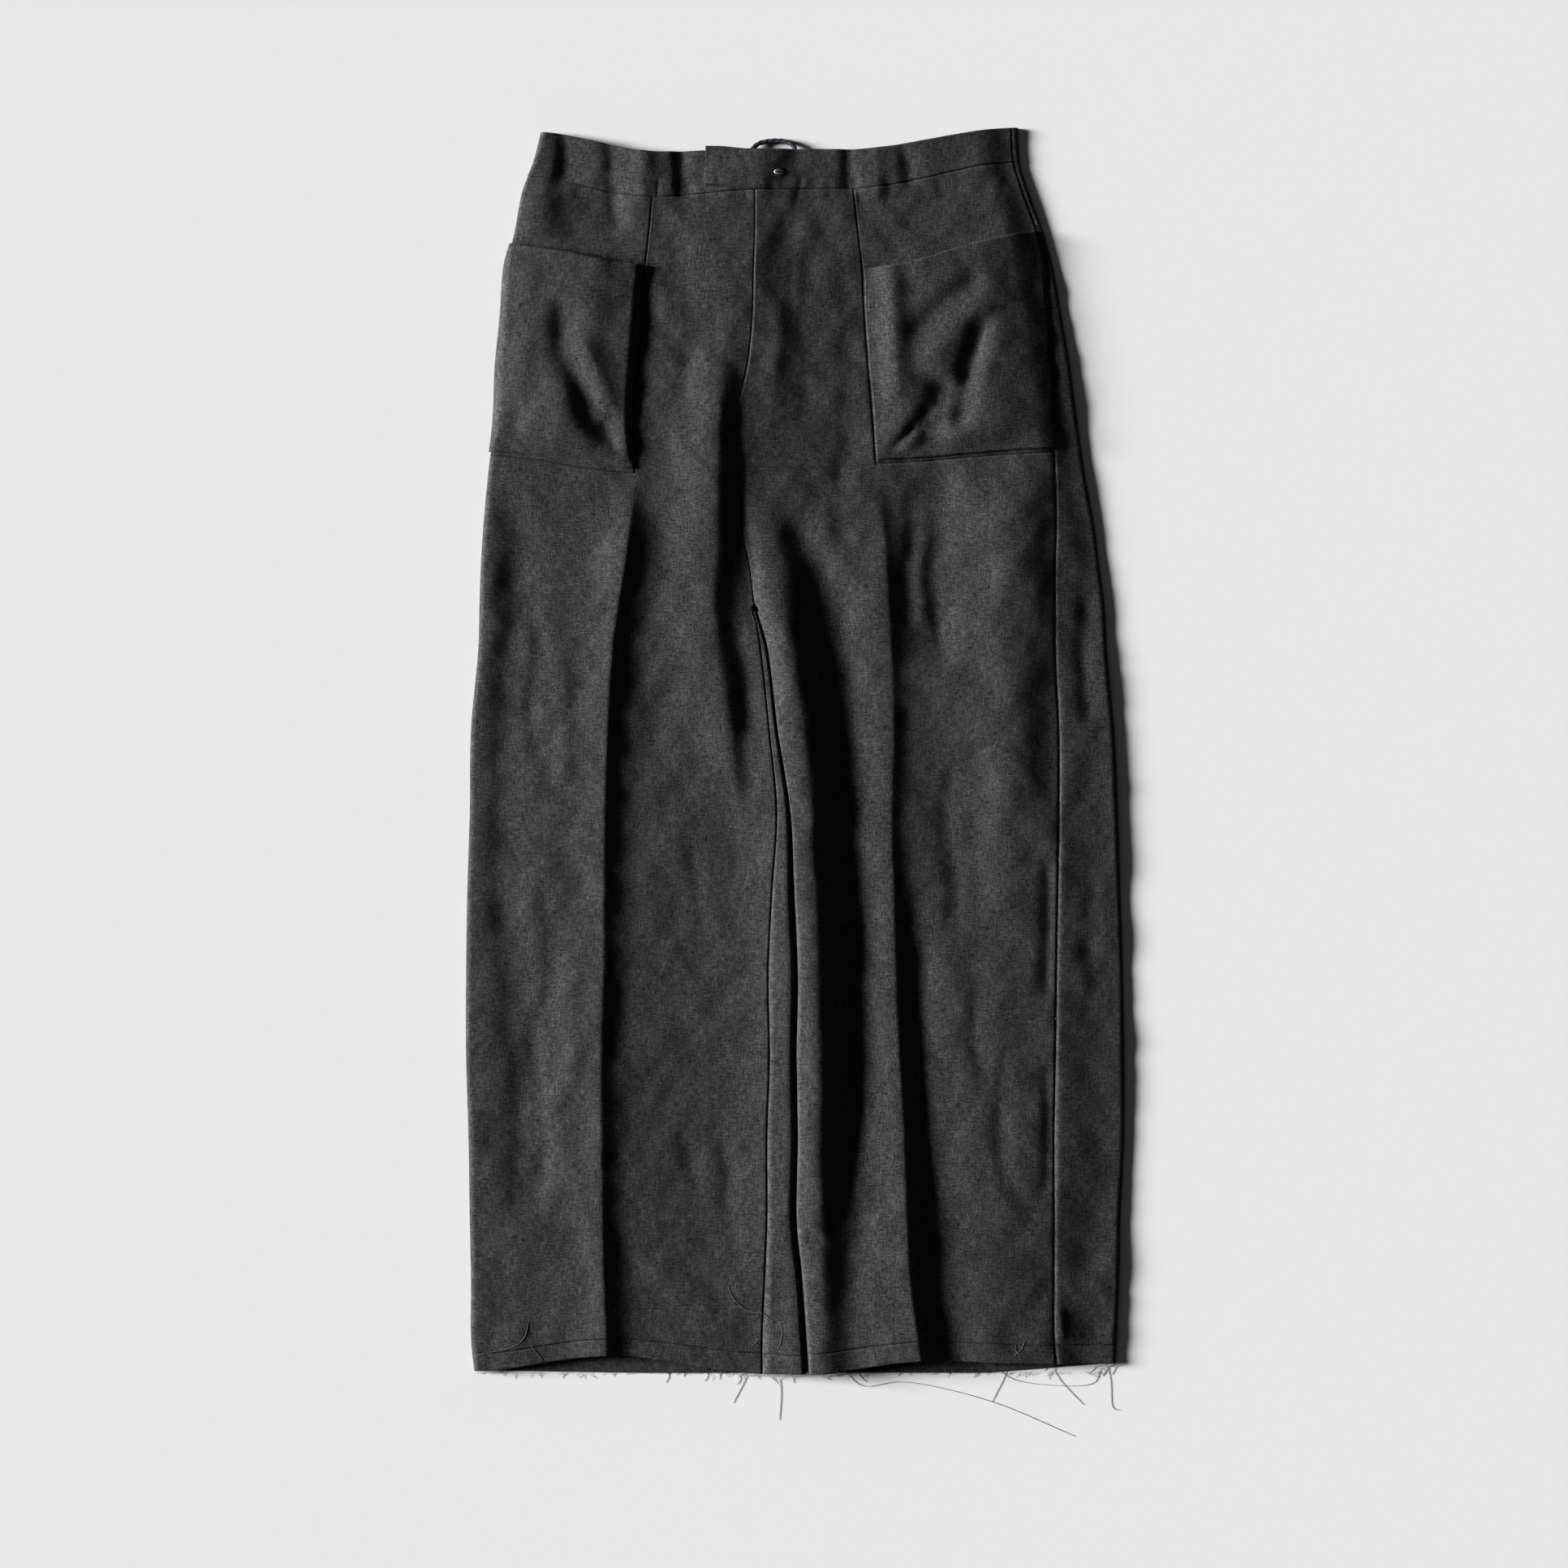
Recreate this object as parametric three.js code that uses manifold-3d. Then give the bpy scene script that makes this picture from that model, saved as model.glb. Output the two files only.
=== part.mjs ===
// Wide-leg trousers of heavy dark twill, laid flat with the front up.
//
// Sizes are in millimetres. x runs across the cloth, y runs up from the hem to the waist, and z is the height
// above the surface that the cloth lies on. Right and left are the wearer's, so the right leg is at negative x.
// Each half of the garment is a flattened tube: a lattice of points goes round it, from the front over the outer
// edge to the back on the ground. Every panel takes its own cells of that lattice and becomes a thin closed wall.

import * as THREE from "three";
import { mergeVertices } from "three/addons/utils/BufferGeometryUtils.js";
import Module from "manifold-3d";

const wasm = await Module();
wasm.setup();

// Driving sizes
const CLOTH = 1.4; // one layer of the twill
const BAND_CLOTH = 2.2; // the waistband, folded double
const SEAM_GAP = 0.3; // between two pieces at a seam
const HAIR = 0.02; // keeps the right front's edge on its own side of the centre line
const LOFT = 8.5; // height of the front layer where it lies plain
const RIGHT_FALL = 2; // how much lower the front lies at the right edge, over this width
const RIGHT_FALL_WIDTH = 45;
const LEFT_FALL = 6; // and at the left edge
const LEFT_FALL_WIDTH = 60;
const LEFT_HIP_FALL_WIDTH = 34;
const LEAST_HEIGHT = 3.8; // lowest that a trough may bring the front layer
const LEG_GAP = 1.2; // between the two legs
const CROTCH = 624; // height of the crotch above the hem
const CROTCH_STEP = 4; // the legs part over twice this height
const OUTER_RADIUS = 7; // reach of the fold at the outer edges
const WAIST_RADIUS = 3; // and at the waist, where they lie flatter
const INNER_RADIUS = 6; // reach of the fold at the inner edges of the legs
const EDGE_MIDDLE = 0.45; // where a folded edge is widest, as a share of its height
const SIDE_UNDER = 3; // how far the right front runs on the ground to its side seam
const INSEAM_UNDER = 40; // how far the left front runs under the inner edge to its inseam
const FLY_STEP = 1.8; // the left front lies over the right one at the fly
const FLY_WIDTH = 32;
const FLY_FOOT = 832; // the fly ends here
const CREASE_FOOT = 9; // from a crease's ridge to the foot of its steep side
const POCKET_LIFT = 6; // how far the pockets stand off the panels under them
const CORD = 5; // diameter of the drawcord
const WIRE = 0.9; // diameter of the hook's wire
const EYELET_RADIUS = 2.9;
const EYELET_ROLL = 0.85;
const HOOK_PLACE = { x: -12.5, row: 0.9 }; // row counts the waistband's rows up from its seam
const THREAD = 0.7; // across a loose thread

// Lines that run down the garment, a row for each height y above the hem.
// rightEdge and leftEdge are the outline. centre is the fly and centre seam, and below the crotch the inner edge of
// the left leg. inseam is the right leg's. rightCrease and leftCrease are the pressed creases, and above the pocket
// bottom the seams of the fronts. leftSide is the left side seam.
const LINES = [
  [0, -260, -153, -26, 11, 103, 214, 261],
  [30, -263, -153, -26, 9, 100, 211, 262],
  [75, -263, -155, -24, 6, 94, 211, 264],
  [127, -264, -156, -22, 1, 91, 211, 265],
  [193, -265, -157, -22, 2, 89, 211, 268],
  [259, -267, -157, -20, 1, 85, 212, 268],
  [325, -267, -155, -21, 2, 82, 213, 267],
  [391, -266, -155, -18, -1, 80, 214, 265],
  [457, -264, -154, -14, -4, 78, 215, 263],
  [523, -263, -152, -20, -14, 80, 215, 260],
  [589, -257, -148, -27, -22, 78, 212, 254],
  [626, -256, -143, -33, -32, 76, 212, 252],
  [655, -255, -138, -36, -36, 74, 212, 248],
  [688, -253, -134, -43, -43, 71, 213, 244],
  [732, -249, -129, -47, -47, 67, 212, 236],
  [774, -244, -131, -48, -48, 64, 210, 230],
  [820, -242, -128, -38, -38, 60, 208, 224],
  [860, -238, -125, -34, -34, 57, 206, 217],
  [900, -235, -121, -33, -33, 55, 204, 210],
  [926, -228, -118, -32, -32, 52, 200, 203],
  [962, -221, -115, -32, -32, 48, 186, 190],
  [985, -212, -114, -32, -32, 48, 179, 183],
  [1012, -205, -114, -32, -32, 48, 177, 181],
].map(([y, rightEdge, rightCrease, inseam, centre, leftCrease, leftSide, leftEdge]) => (
  { y, rightEdge, rightCrease, inseam, centre, leftCrease, leftSide, leftEdge }
));

// Rows of the lattice. Each gives its height at the centre, at the crease or front seam, at the outer edge and on
// the back. A row with a wall holds the thickness of the piece that it belongs to.
const RIGHT_ROWS = [
  { name: "raw hem", centre: 1, crease: 16, edge: 3, back: 1 },
  { name: "hem seam", centre: 18, crease: 30, edge: 17, back: 16 },
  { name: "leg", centre: 60, crease: 66, edge: 60, back: 60 },
  ...[110, 160, 215, 270, 325, 380, 435, 490, 540, 585].map(levelRow),
  { ...levelRow(CROTCH - CROTCH_STEP), name: "legs part" },
  { ...levelRow(CROTCH + CROTCH_STEP), name: "crotch" },
  levelRow(655),
  levelRow(692),
  { name: "pocket bottom", centre: 736, crease: 732, edge: 746, back: 740 },
  { name: "yoke", centre: 775, crease: 775, edge: 785, back: 780 },
  { name: "yoke", centre: 820, crease: 820, edge: 832, back: 825 },
  { name: "yoke", centre: 862, crease: 862, edge: 876, back: 867 },
  { name: "pocket mouth", centre: 900, crease: 901, edge: 918, back: 905 },
  { name: "yoke", centre: 932, crease: 930, edge: 947, back: 936 },
  { name: "waist seam", centre: 962, crease: 956, edge: 973, back: 963 },
  { name: "band seam", centre: 962, crease: 956, edge: 973, back: 963, wall: BAND_CLOTH },
  { name: "band", centre: 979, crease: 974, edge: 991, back: 979, wall: BAND_CLOTH },
  { name: "band top", centre: 995, crease: 993, edge: 1009, back: 993, wall: BAND_CLOTH },
];
const LEFT_ROWS = [
  { name: "raw hem", centre: 1, crease: 12, edge: 9, back: 1 },
  { name: "hem seam", centre: 18, crease: 28, edge: 24, back: 18 },
  { name: "leg", centre: 60, crease: 66, edge: 62, back: 60 },
  ...[110, 160, 215, 270, 325, 380, 435, 490, 540, 585].map(levelRow),
  { ...levelRow(CROTCH - CROTCH_STEP), name: "legs part" },
  { ...levelRow(CROTCH + CROTCH_STEP), name: "crotch" },
  levelRow(655),
  levelRow(692),
  { name: "pocket bottom", centre: 738, crease: 740, edge: 749, back: 742 },
  { name: "yoke", centre: 776, crease: 778, edge: 790, back: 780 },
  { name: "yoke", centre: 820, crease: 822, edge: 838, back: 825 },
  { name: "yoke", centre: 860, crease: 862, edge: 885, back: 870 },
  { name: "pocket mouth", centre: 897, crease: 898, edge: 929, back: 910 },
  { name: "yoke", centre: 930, crease: 931, edge: 956, back: 940 },
  { name: "waist seam", centre: 962, crease: 963, edge: 985, back: 963 },
  { name: "band seam", centre: 962, crease: 963, edge: 985, back: 963, wall: BAND_CLOTH },
  { name: "band", centre: 979, crease: 979, edge: 999, back: 979, wall: BAND_CLOTH },
  { name: "band top", centre: 995, crease: 995, edge: 1013, back: 993, wall: BAND_CLOTH },
];

// The largest folds of the front, as ridges (rise above zero) and troughs (below zero) along a path of [x, y] points.
// left and right are the widths of its two flanks, and fade is the length over which its ends die away. power sharpens
// its top, and swell holds evenly spaced factors of the rise along the path.
const FOLDS = [
  { name: "hip crown", rise: 5, left: 95, right: 62, fade: 160, path: [[-45, 1030], [-45, 900], [-50, 780], [-52, 640]] },
  { name: "right crease", rise: 7.5, left: 22, right: 5, fade: 16, power: 1.4, swell: [1.1, 0.8, 0.75, 0.8, 1, 0.9],
    path: lineBetween("rightCrease", 0, 732) },
  { name: "right centre ridge", rise: 7.5, left: 27, right: 12, fade: 150,
    path: [[-62, 880], [-60, 830], [-62, 774], [-64, 695], [-67, 616], [-59, 556], [-51, 503], [-47, 420]] },
  { name: "right outer trough", rise: -3.5, left: 12, right: 18, fade: 50,
    path: [[-224, 712], [-229, 616], [-234, 523], [-238, 424], [-230, 325], [-220, 226], [-224, 110]] },
  { name: "centre trough", path: lineBetween("centre", 500, 850), rise: -3, left: 9, right: 7, fade: 60 },
  { name: "right inner edge", rise: 4.5, left: 26, right: 16, fade: 80,
    path: [[-36, 560], [-16, 430], [-14, 250], [-16, 20]] },
  { name: "left inner ridge", rise: 14, left: 28, right: 9, fade: 120, swell: [0.6, 0.85, 1, 1, 0.85, 0.6, 0.4],
    path: [[-22, 730], [-13, 660], [-2, 589], [8, 523], [14, 457], [17, 391], [19, 325], [20, 193], [20, 127],
      [24, 0], [26, -120]] },
  { name: "left inner plateau", rise: 5, left: 50, right: 45, fade: 120,
    path: [[66, -160], [66, 0], [62, 110], [58, 200]] },
  { name: "left valley", rise: -6, left: 11, right: 17, fade: 110,
    path: [[-14, 735], [7, 669], [24, 632], [34, 579], [39, 504], [43, 407], [47, 329], [47, 251], [40, 193],
      [32, 100]] },
  { name: "left crease", rise: 6, left: 30, right: 5, fade: 16, power: 1.5, swell: [1, 0.8, 0.6, 0.5, 0.5, 0.5],
    path: lineBetween("leftCrease", 0, 732) },
  { name: "left crease foot", rise: -3.5, left: 9, right: 20, fade: 90,
    path: [[96, 420], [98, 325], [104, 193], [110, 127], [118, 60], [122, 0], [124, -90]] },
  { name: "left hip hollow", rise: -4, left: 20, right: 26, fade: 40,
    path: [[82, 732], [97, 655], [112, 602], [112, 535]] },
  { name: "left side hollow", rise: -2.5, left: 34, right: 20, fade: 90, path: [[140, 560], [144, 430], [146, 250], [150, 60]] },
  { name: "left side trough", rise: -4, left: 16, right: 12, fade: 60,
    path: [[205, 748], [210, 695], [212, 616], [207, 523], [205, 440]] },
  { name: "left side ridge", rise: 3, left: 20, right: 18, fade: 60, path: [[176, 740], [175, 616], [172, 470], [178, 330]] },
  { name: "right yoke trough", rise: -4, left: 12, right: 22, fade: 40,
    path: [[-176, 1030], [-184, 960], [-192, 905]] },
  { name: "right band ridge", rise: 2, left: 22, right: 10, fade: 25, path: [[-104, 1030], [-104, 935]] },
  { name: "over the drawcord", rise: 2, left: 30, right: 30, fade: 12, path: [[-18, 1014], [-18, 950]] },
];

// Folds of the two pockets, added to how far they stand off
const POCKET_FOLDS = [
  { name: "right pocket hollow", rise: -4.5, left: 13, right: 18, fade: 50,
    path: [[-202, 905], [-192, 853], [-172, 790], [-156, 752]] },
  { name: "right pocket ridge", rise: 2, left: 24, right: 14, fade: 25, path: [[-196, 810], [-188, 756]] },
  { name: "left pocket hollow", rise: -5.5, left: 9, right: 26, fade: 40,
    path: [[152, 872], [143, 840], [130, 805], [114, 770], [104, 745]] },
  { name: "left pocket ridge", rise: 3.5, left: 9, right: 11, fade: 35, path: [[74, 915], [78, 870], [80, 820], [82, 780]] },
  { name: "left pocket fold", rise: 2.5, left: 8, right: 14, fade: 30,
    path: [[172, 895], [140, 868], [112, 838], [96, 806]] },
];

// Loose threads of the hems. Each starts at x on the raw edge, reaches down, leans sideways and bows.
// level lifts a thread over one that it crosses.
const RIGHT_THREADS = [
  { x: -243, reach: 12, lean: -7, bow: 2, level: 0 },
  { x: -214, reach: 9, lean: 5, bow: -2, level: 0 },
  { x: -187, reach: 13, lean: -3, bow: 2, level: 0 },
  { x: -156, reach: 10, lean: 8, bow: 2, level: 0 },
  { x: -121, reach: 12, lean: -4, bow: -2, level: 0 },
  { x: -92, reach: 14, lean: 9, bow: -3, level: 0 },
  { x: -61, reach: 9, lean: 3, bow: 2, level: 0 },
  { x: -39, reach: 24, lean: -11, bow: 3, level: 0 },
  { x: -20, reach: 36, lean: 6, bow: -3, level: 0 },
];
const LEFT_THREADS = [
  { x: 30, reach: 11, lean: -6, bow: 2, level: 0 },
  { x: 41, reach: 50, lean: 188, bow: -6, level: 0 },
  { x: 74, reach: 8, lean: 3, bow: 1, level: 2 },
  { x: 118, reach: 9, lean: -5, bow: 2, level: 2 },
  { x: 168, reach: 21, lean: -10, bow: 2, level: 2 },
  { x: 176, reach: 11, lean: 66, bow: 5, level: 0 },
  { x: 205, reach: 27, lean: 28, bow: 3, level: 2 },
  { x: 230, reach: 8, lean: 6, bow: 1, level: 2 },
  { x: 247, reach: 31, lean: 14, bow: -3, level: 2 },
];

// The drawcord's route, from between the waistbands up, round and back in
const CORD_ROUTE = [
  [-36, 972, 5.1], [-36.5, 980, 5.1], [-35.5, 989, 5.1], [-32, 997, 4.6], [-26, 1002.5, 3.6], [-18.5, 1005, 2.9],
  [-11, 1004.5, 2.9], [-4.5, 1001, 3.6], [-0.5, 995, 4.6], [1, 987.5, 5.1], [1, 980, 5.1], [0, 972, 5.1],
];

function levelRow(y) {
  return { name: "leg", centre: y, crease: y, edge: y, back: y };
}

function lerp(start, end, share) {
  return start + (end - start) * share;
}

function smooth(value) {
  const share = Math.min(Math.max(value, 0), 1);
  return share * share * (3 - 2 * share);
}

// Bends a straight share towards one with level ends, as seams and hems lie between their fixed points
function settled(share) {
  return lerp(share, smooth(share), 0.7);
}

// A line's x at height y, on a smooth curve through the rows of the table
function lineAt(name, y) {
  const last = LINES.length - 1;
  let row = 0;
  while (row < last - 1 && y > LINES[row + 1].y) row += 1;
  const [here, next] = [LINES[row], LINES[row + 1]];
  const span = next.y - here.y;
  const share = Math.min(Math.max((y - here.y) / span, 0), 1);
  const before = LINES[Math.max(row - 1, 0)];
  const after = LINES[Math.min(row + 2, last)];
  const startSlope = ((next[name] - before[name]) / (next.y - before.y)) * span;
  const endSlope = ((after[name] - here[name]) / (after.y - here.y)) * span;
  const square = share * share;
  const cube = square * share;
  return (
    here[name] * (2 * cube - 3 * square + 1) +
    startSlope * (cube - 2 * square + share) +
    next[name] * (3 * square - 2 * cube) +
    endSlope * (cube - square)
  );
}

function lineBetween(name, low, high) {
  return LINES.filter((row) => row.y >= low && row.y <= high).map((row) => [row[name], row.y]);
}

// The factor at a share of a fold's length, straight between evenly spaced ones
function swellAt(factors, share) {
  const place = Math.min(share, 0.9999) * (factors.length - 1);
  const before = Math.floor(place);
  return lerp(factors[before], factors[before + 1], place - before);
}

// What one fold adds to the height at a point: its rise, less with the distance from its path and near its ends
function foldRise(fold, x, y) {
  let nearest = { distance: Infinity, side: 1, along: 0 };
  let length = 0;
  for (let i = 1; i < fold.path.length; i += 1) {
    const [startX, startY] = fold.path[i - 1];
    const [stepX, stepY] = [fold.path[i][0] - startX, fold.path[i][1] - startY];
    const step = Math.hypot(stepX, stepY);
    const share = Math.min(Math.max(((x - startX) * stepX + (y - startY) * stepY) / (step * step), 0), 1);
    const [offX, offY] = [x - startX - stepX * share, y - startY - stepY * share];
    const distance = Math.hypot(offX, offY);
    if (distance < nearest.distance) {
      nearest = { distance, side: Math.sign(offX), along: length + step * share };
    }
    length += step;
  }
  const width = nearest.side < 0 ? fold.left : fold.right;
  const ends = smooth(nearest.along / fold.fade) * smooth((length - nearest.along) / fold.fade);
  const swell = fold.swell ? swellAt(fold.swell, nearest.along / length) : 1;
  return fold.rise * swell * ends * Math.exp(-((nearest.distance / width) ** (fold.power ?? 2)));
}

// Height of the front layer's middle. Troughs flatten out as they near the back layer.
function frontHeight(x, y) {
  let height = LOFT - RIGHT_FALL * (1 - smooth((x - lineAt("rightEdge", y)) / RIGHT_FALL_WIDTH));
  const leftWidth = lerp(LEFT_FALL_WIDTH, LEFT_HIP_FALL_WIDTH, smooth((y - 560) / 120));
  height -= LEFT_FALL * (1 - smooth((lineAt("leftEdge", y) - x) / leftWidth));
  for (const fold of FOLDS) height += foldRise(fold, x, y);
  const onLeft = x > lineAt("centre", y) - HAIR / 2;
  if (onLeft && y > FLY_FOOT) {
    height += FLY_STEP * (1 - smooth((x - lineAt("centre", y)) / FLY_WIDTH)) * smooth((y - FLY_FOOT) / 20);
  }
  const over = height - LEAST_HEIGHT;
  return LEAST_HEIGHT + (over + Math.hypot(over, 2)) / 2;
}

// A point of a folded edge. turn goes from -1, where the fold leaves the ground, over 0, its outermost line, to 1,
// where it joins the upper layer. inward is the direction of the cloth from the edge.
function foldPoint(edge, inward, radius, turn, y, floor) {
  const angle = (turn * Math.PI) / 2;
  const x = edge + inward * radius * (1 - Math.cos(angle));
  const top = frontHeight(edge + inward * radius, y);
  const middle = lerp(floor, top, EDGE_MIDDLE);
  const z = turn > 0 ? lerp(middle, top, Math.sin(angle)) : lerp(middle, floor, -Math.sin(angle));
  return { x, z };
}

function rightOuter(y) {
  return lineAt("rightEdge", y) + CLOTH / 2;
}

function leftOuter(y) {
  return lineAt("leftEdge", y) - CLOTH / 2;
}

function leftInner(y) {
  return lineAt("centre", y) + (y > CROTCH ? 0 : CLOTH / 2);
}

function rightInner(y) {
  return lineAt("centre", y) - (y > CROTCH ? 0 : LEG_GAP + CLOTH / 2);
}

// The inner folds grow from nothing at the crotch.
function innerRadius(y) {
  return y > CROTCH ? 0 : lerp(1.5, INNER_RADIUS, smooth((CROTCH - y) / 90));
}

function rightInseam(y) {
  return y > CROTCH ? lineAt("centre", y) - HAIR : Math.min(lineAt("inseam", y), rightInner(y) - innerRadius(y) - 0.5);
}

// Where the back's inner end lies on the ground
function leftBackEnd(y) {
  return leftInner(y) + (y > CROTCH ? 0 : lerp(8, INSEAM_UNDER, smooth((CROTCH - y) / 140)));
}

// Columns of the lattice. height picks the row's height for the column, and at gives the point there.
function topColumn(startLine, endLine, share, startKey, endKey) {
  return {
    height: (row) => lerp(row[startKey], row[endKey], settled(share)),
    at: (y) => {
      const x = lerp(startLine(y), endLine(y), share);
      return { x, z: frontHeight(x, y) };
    },
  };
}

function floorColumn(startLine, endLine, share) {
  return {
    height: (row) => lerp(row.edge, row.back, Math.min(share * 2, 1)),
    at: (y, floor) => ({ x: lerp(startLine(y), endLine(y), share), z: floor }),
  };
}

function foldColumn(line, inward, radius, turn, key) {
  return {
    height: (row) => row[key],
    at: (y, floor) => foldPoint(line(y), inward, radius(y), turn, y, floor),
  };
}

function outerRadius(y) {
  return lerp(OUTER_RADIUS, WAIST_RADIUS, smooth((y - 850) / 80));
}

const rightCrease = (y) => lineAt("rightCrease", y);
const rightFoot = (y) => lineAt("rightCrease", y) + CREASE_FOOT * Math.max(smooth((760 - y) / 60), 0.5);
const rightTopTangent = (y) => rightOuter(y) + outerRadius(y);
const rightSide = (y) => rightTopTangent(y) + SIDE_UNDER;
const rightFloorEnd = (y) => rightInner(y) - innerRadius(y);
const leftTopTangent = (y) => leftOuter(y) - outerRadius(y);
const leftFloorTangent = leftTopTangent;
const leftCrease = (y) => lineAt("leftCrease", y);
const leftTop = (y) => leftInner(y) + innerRadius(y);
const leftSide = (y) => Math.min(lineAt("leftSide", y), leftTopTangent(y) - 0.8);

// The right half: front from the inseam or centre over the outer edge to the side seam, then the back, which on the
// leg comes up round the inner edge to the inseam.
const RIGHT_CENTRE_SHARES = [0, 0.1, 0.21, 0.33, 0.46, 0.6, 0.74, 0.88];
const RIGHT_SIDE_SHARES = [0, 0.13, 0.29, 0.47, 0.65, 0.83];
const OUTER_TURNS = [1, 0.6, 0.2, -0.3, -1];
const RIGHT_FLOOR_SHARES = [0, 0.3, 0.65, 1];
const INNER_TURNS = [-0.5, 0, 0.5, 1];
const rightColumns = [
  ...RIGHT_CENTRE_SHARES.map((share) => topColumn(rightInseam, rightFoot, share, "centre", "crease")),
  topColumn(rightFoot, rightCrease, 0, "crease", "crease"),
  ...RIGHT_SIDE_SHARES.map((share) => topColumn(rightCrease, rightTopTangent, share, "crease", "edge")),
  ...OUTER_TURNS.map((turn) => foldColumn(rightOuter, 1, outerRadius, turn, "edge")),
  ...RIGHT_FLOOR_SHARES.map((share) => floorColumn(rightSide, rightFloorEnd, share)),
  ...INNER_TURNS.map((turn) => foldColumn(rightInner, -1, innerRadius, turn, "back")),
  topColumn(rightInseam, rightInseam, 0, "centre", "centre"),
];
const RIGHT = {
  crease: RIGHT_CENTRE_SHARES.length + 1,
  side: RIGHT_CENTRE_SHARES.length + 1 + RIGHT_SIDE_SHARES.length + OUTER_TURNS.length,
  floorEnd:
    RIGHT_CENTRE_SHARES.length + RIGHT_SIDE_SHARES.length + OUTER_TURNS.length + RIGHT_FLOOR_SHARES.length,
};

// The left half: front from the inseam on the ground round the inner edge, over the top to the side seam, then the
// back over the outer edge and along the ground.
const LEFT_UNDER_SHARES = [1, 0.5];
const LEFT_INNER_TURNS = [-1, -0.4, 0.1, 0.5];
const LEFT_CENTRE_SHARES = [0, 0.09, 0.19, 0.3, 0.42, 0.56, 0.7, 0.84];
const LEFT_CREASE_SHARES = [0, 0.07, 0.16, 0.3, 0.48, 0.66, 0.84];
const LEFT_OVER_SHARES = [0, 0.5];
const LEFT_FLOOR_SHARES = [0.25, 0.5, 0.75, 1];
const leftColumns = [
  ...LEFT_UNDER_SHARES.map((share) => ({
    height: (row) => row.back,
    at: (y, floor) => ({ x: lerp(leftTop(y), leftBackEnd(y), share), z: floor }),
  })),
  ...LEFT_INNER_TURNS.map((turn) => foldColumn(leftInner, 1, innerRadius, turn, turn > 0 ? "centre" : "back")),
  ...LEFT_CENTRE_SHARES.map((share) => topColumn(leftTop, leftCrease, share, "centre", "crease")),
  ...LEFT_CREASE_SHARES.map((share) => topColumn(leftCrease, leftSide, share, "crease", "edge")),
  ...LEFT_OVER_SHARES.map((share) => topColumn(leftSide, leftTopTangent, share, "edge", "edge")),
  ...OUTER_TURNS.map((turn) => foldColumn(leftOuter, -1, outerRadius, turn, "edge")),
  ...LEFT_FLOOR_SHARES.map((share) => floorColumn(leftFloorTangent, leftBackEnd, share)),
];
const LEFT = {
  top: LEFT_UNDER_SHARES.length + LEFT_INNER_TURNS.length,
  crease: LEFT_UNDER_SHARES.length + LEFT_INNER_TURNS.length + LEFT_CENTRE_SHARES.length,
  side:
    LEFT_UNDER_SHARES.length + LEFT_INNER_TURNS.length + LEFT_CENTRE_SHARES.length + LEFT_CREASE_SHARES.length,
};

const everyCell = () => true;

// Outward normals of a grid of points, from the cells round each point. live says which cells are cloth, and flip
// turns the normals out.
function gridNormals(points, live, flip) {
  const normals = points.map((row) => row.map(() => new THREE.Vector3()));
  for (let row = 0; row < points.length - 1; row += 1) {
    for (let column = 0; column < points[0].length - 1; column += 1) {
      if (!live(row, column)) continue;
      const up = points[row + 1][column].clone().sub(points[row][column + 1]);
      const across = points[row + 1][column + 1].clone().sub(points[row][column]);
      const normal = across.cross(up).multiplyScalar(flip).normalize();
      for (const [r, c] of [[row, column], [row, column + 1], [row + 1, column], [row + 1, column + 1]]) {
        normals[r][c].add(normal);
      }
    }
  }
  return normals;
}

function withNormals(points, flip) {
  const normals = gridNormals(points, everyCell, flip);
  normals.forEach((row) => row.forEach((normal) => normal.normalize()));
  return { points, normals };
}

// Points of a half of the garment with their normals
function makeLattice(rows, columns, live, flip, openColumn) {
  const points = rows.map((row) =>
    columns.map((column) => {
      const y = column.height(row);
      const { x, z } = column.at(y, (row.wall ?? CLOTH) / 2);
      return new THREE.Vector3(x, y, z);
    }),
  );
  const normals = gridNormals(points, live, flip);
  rows.forEach((row, index) => {
    // Beside the centre seam both halves stand their edges upright, so that they meet without crossing.
    if (row.centre > CROTCH - CROTCH_STEP) normals[index][openColumn].setX(0);
    normals[index].forEach((normal) => normal.normalize());
  });
  return { points, normals };
}

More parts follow.
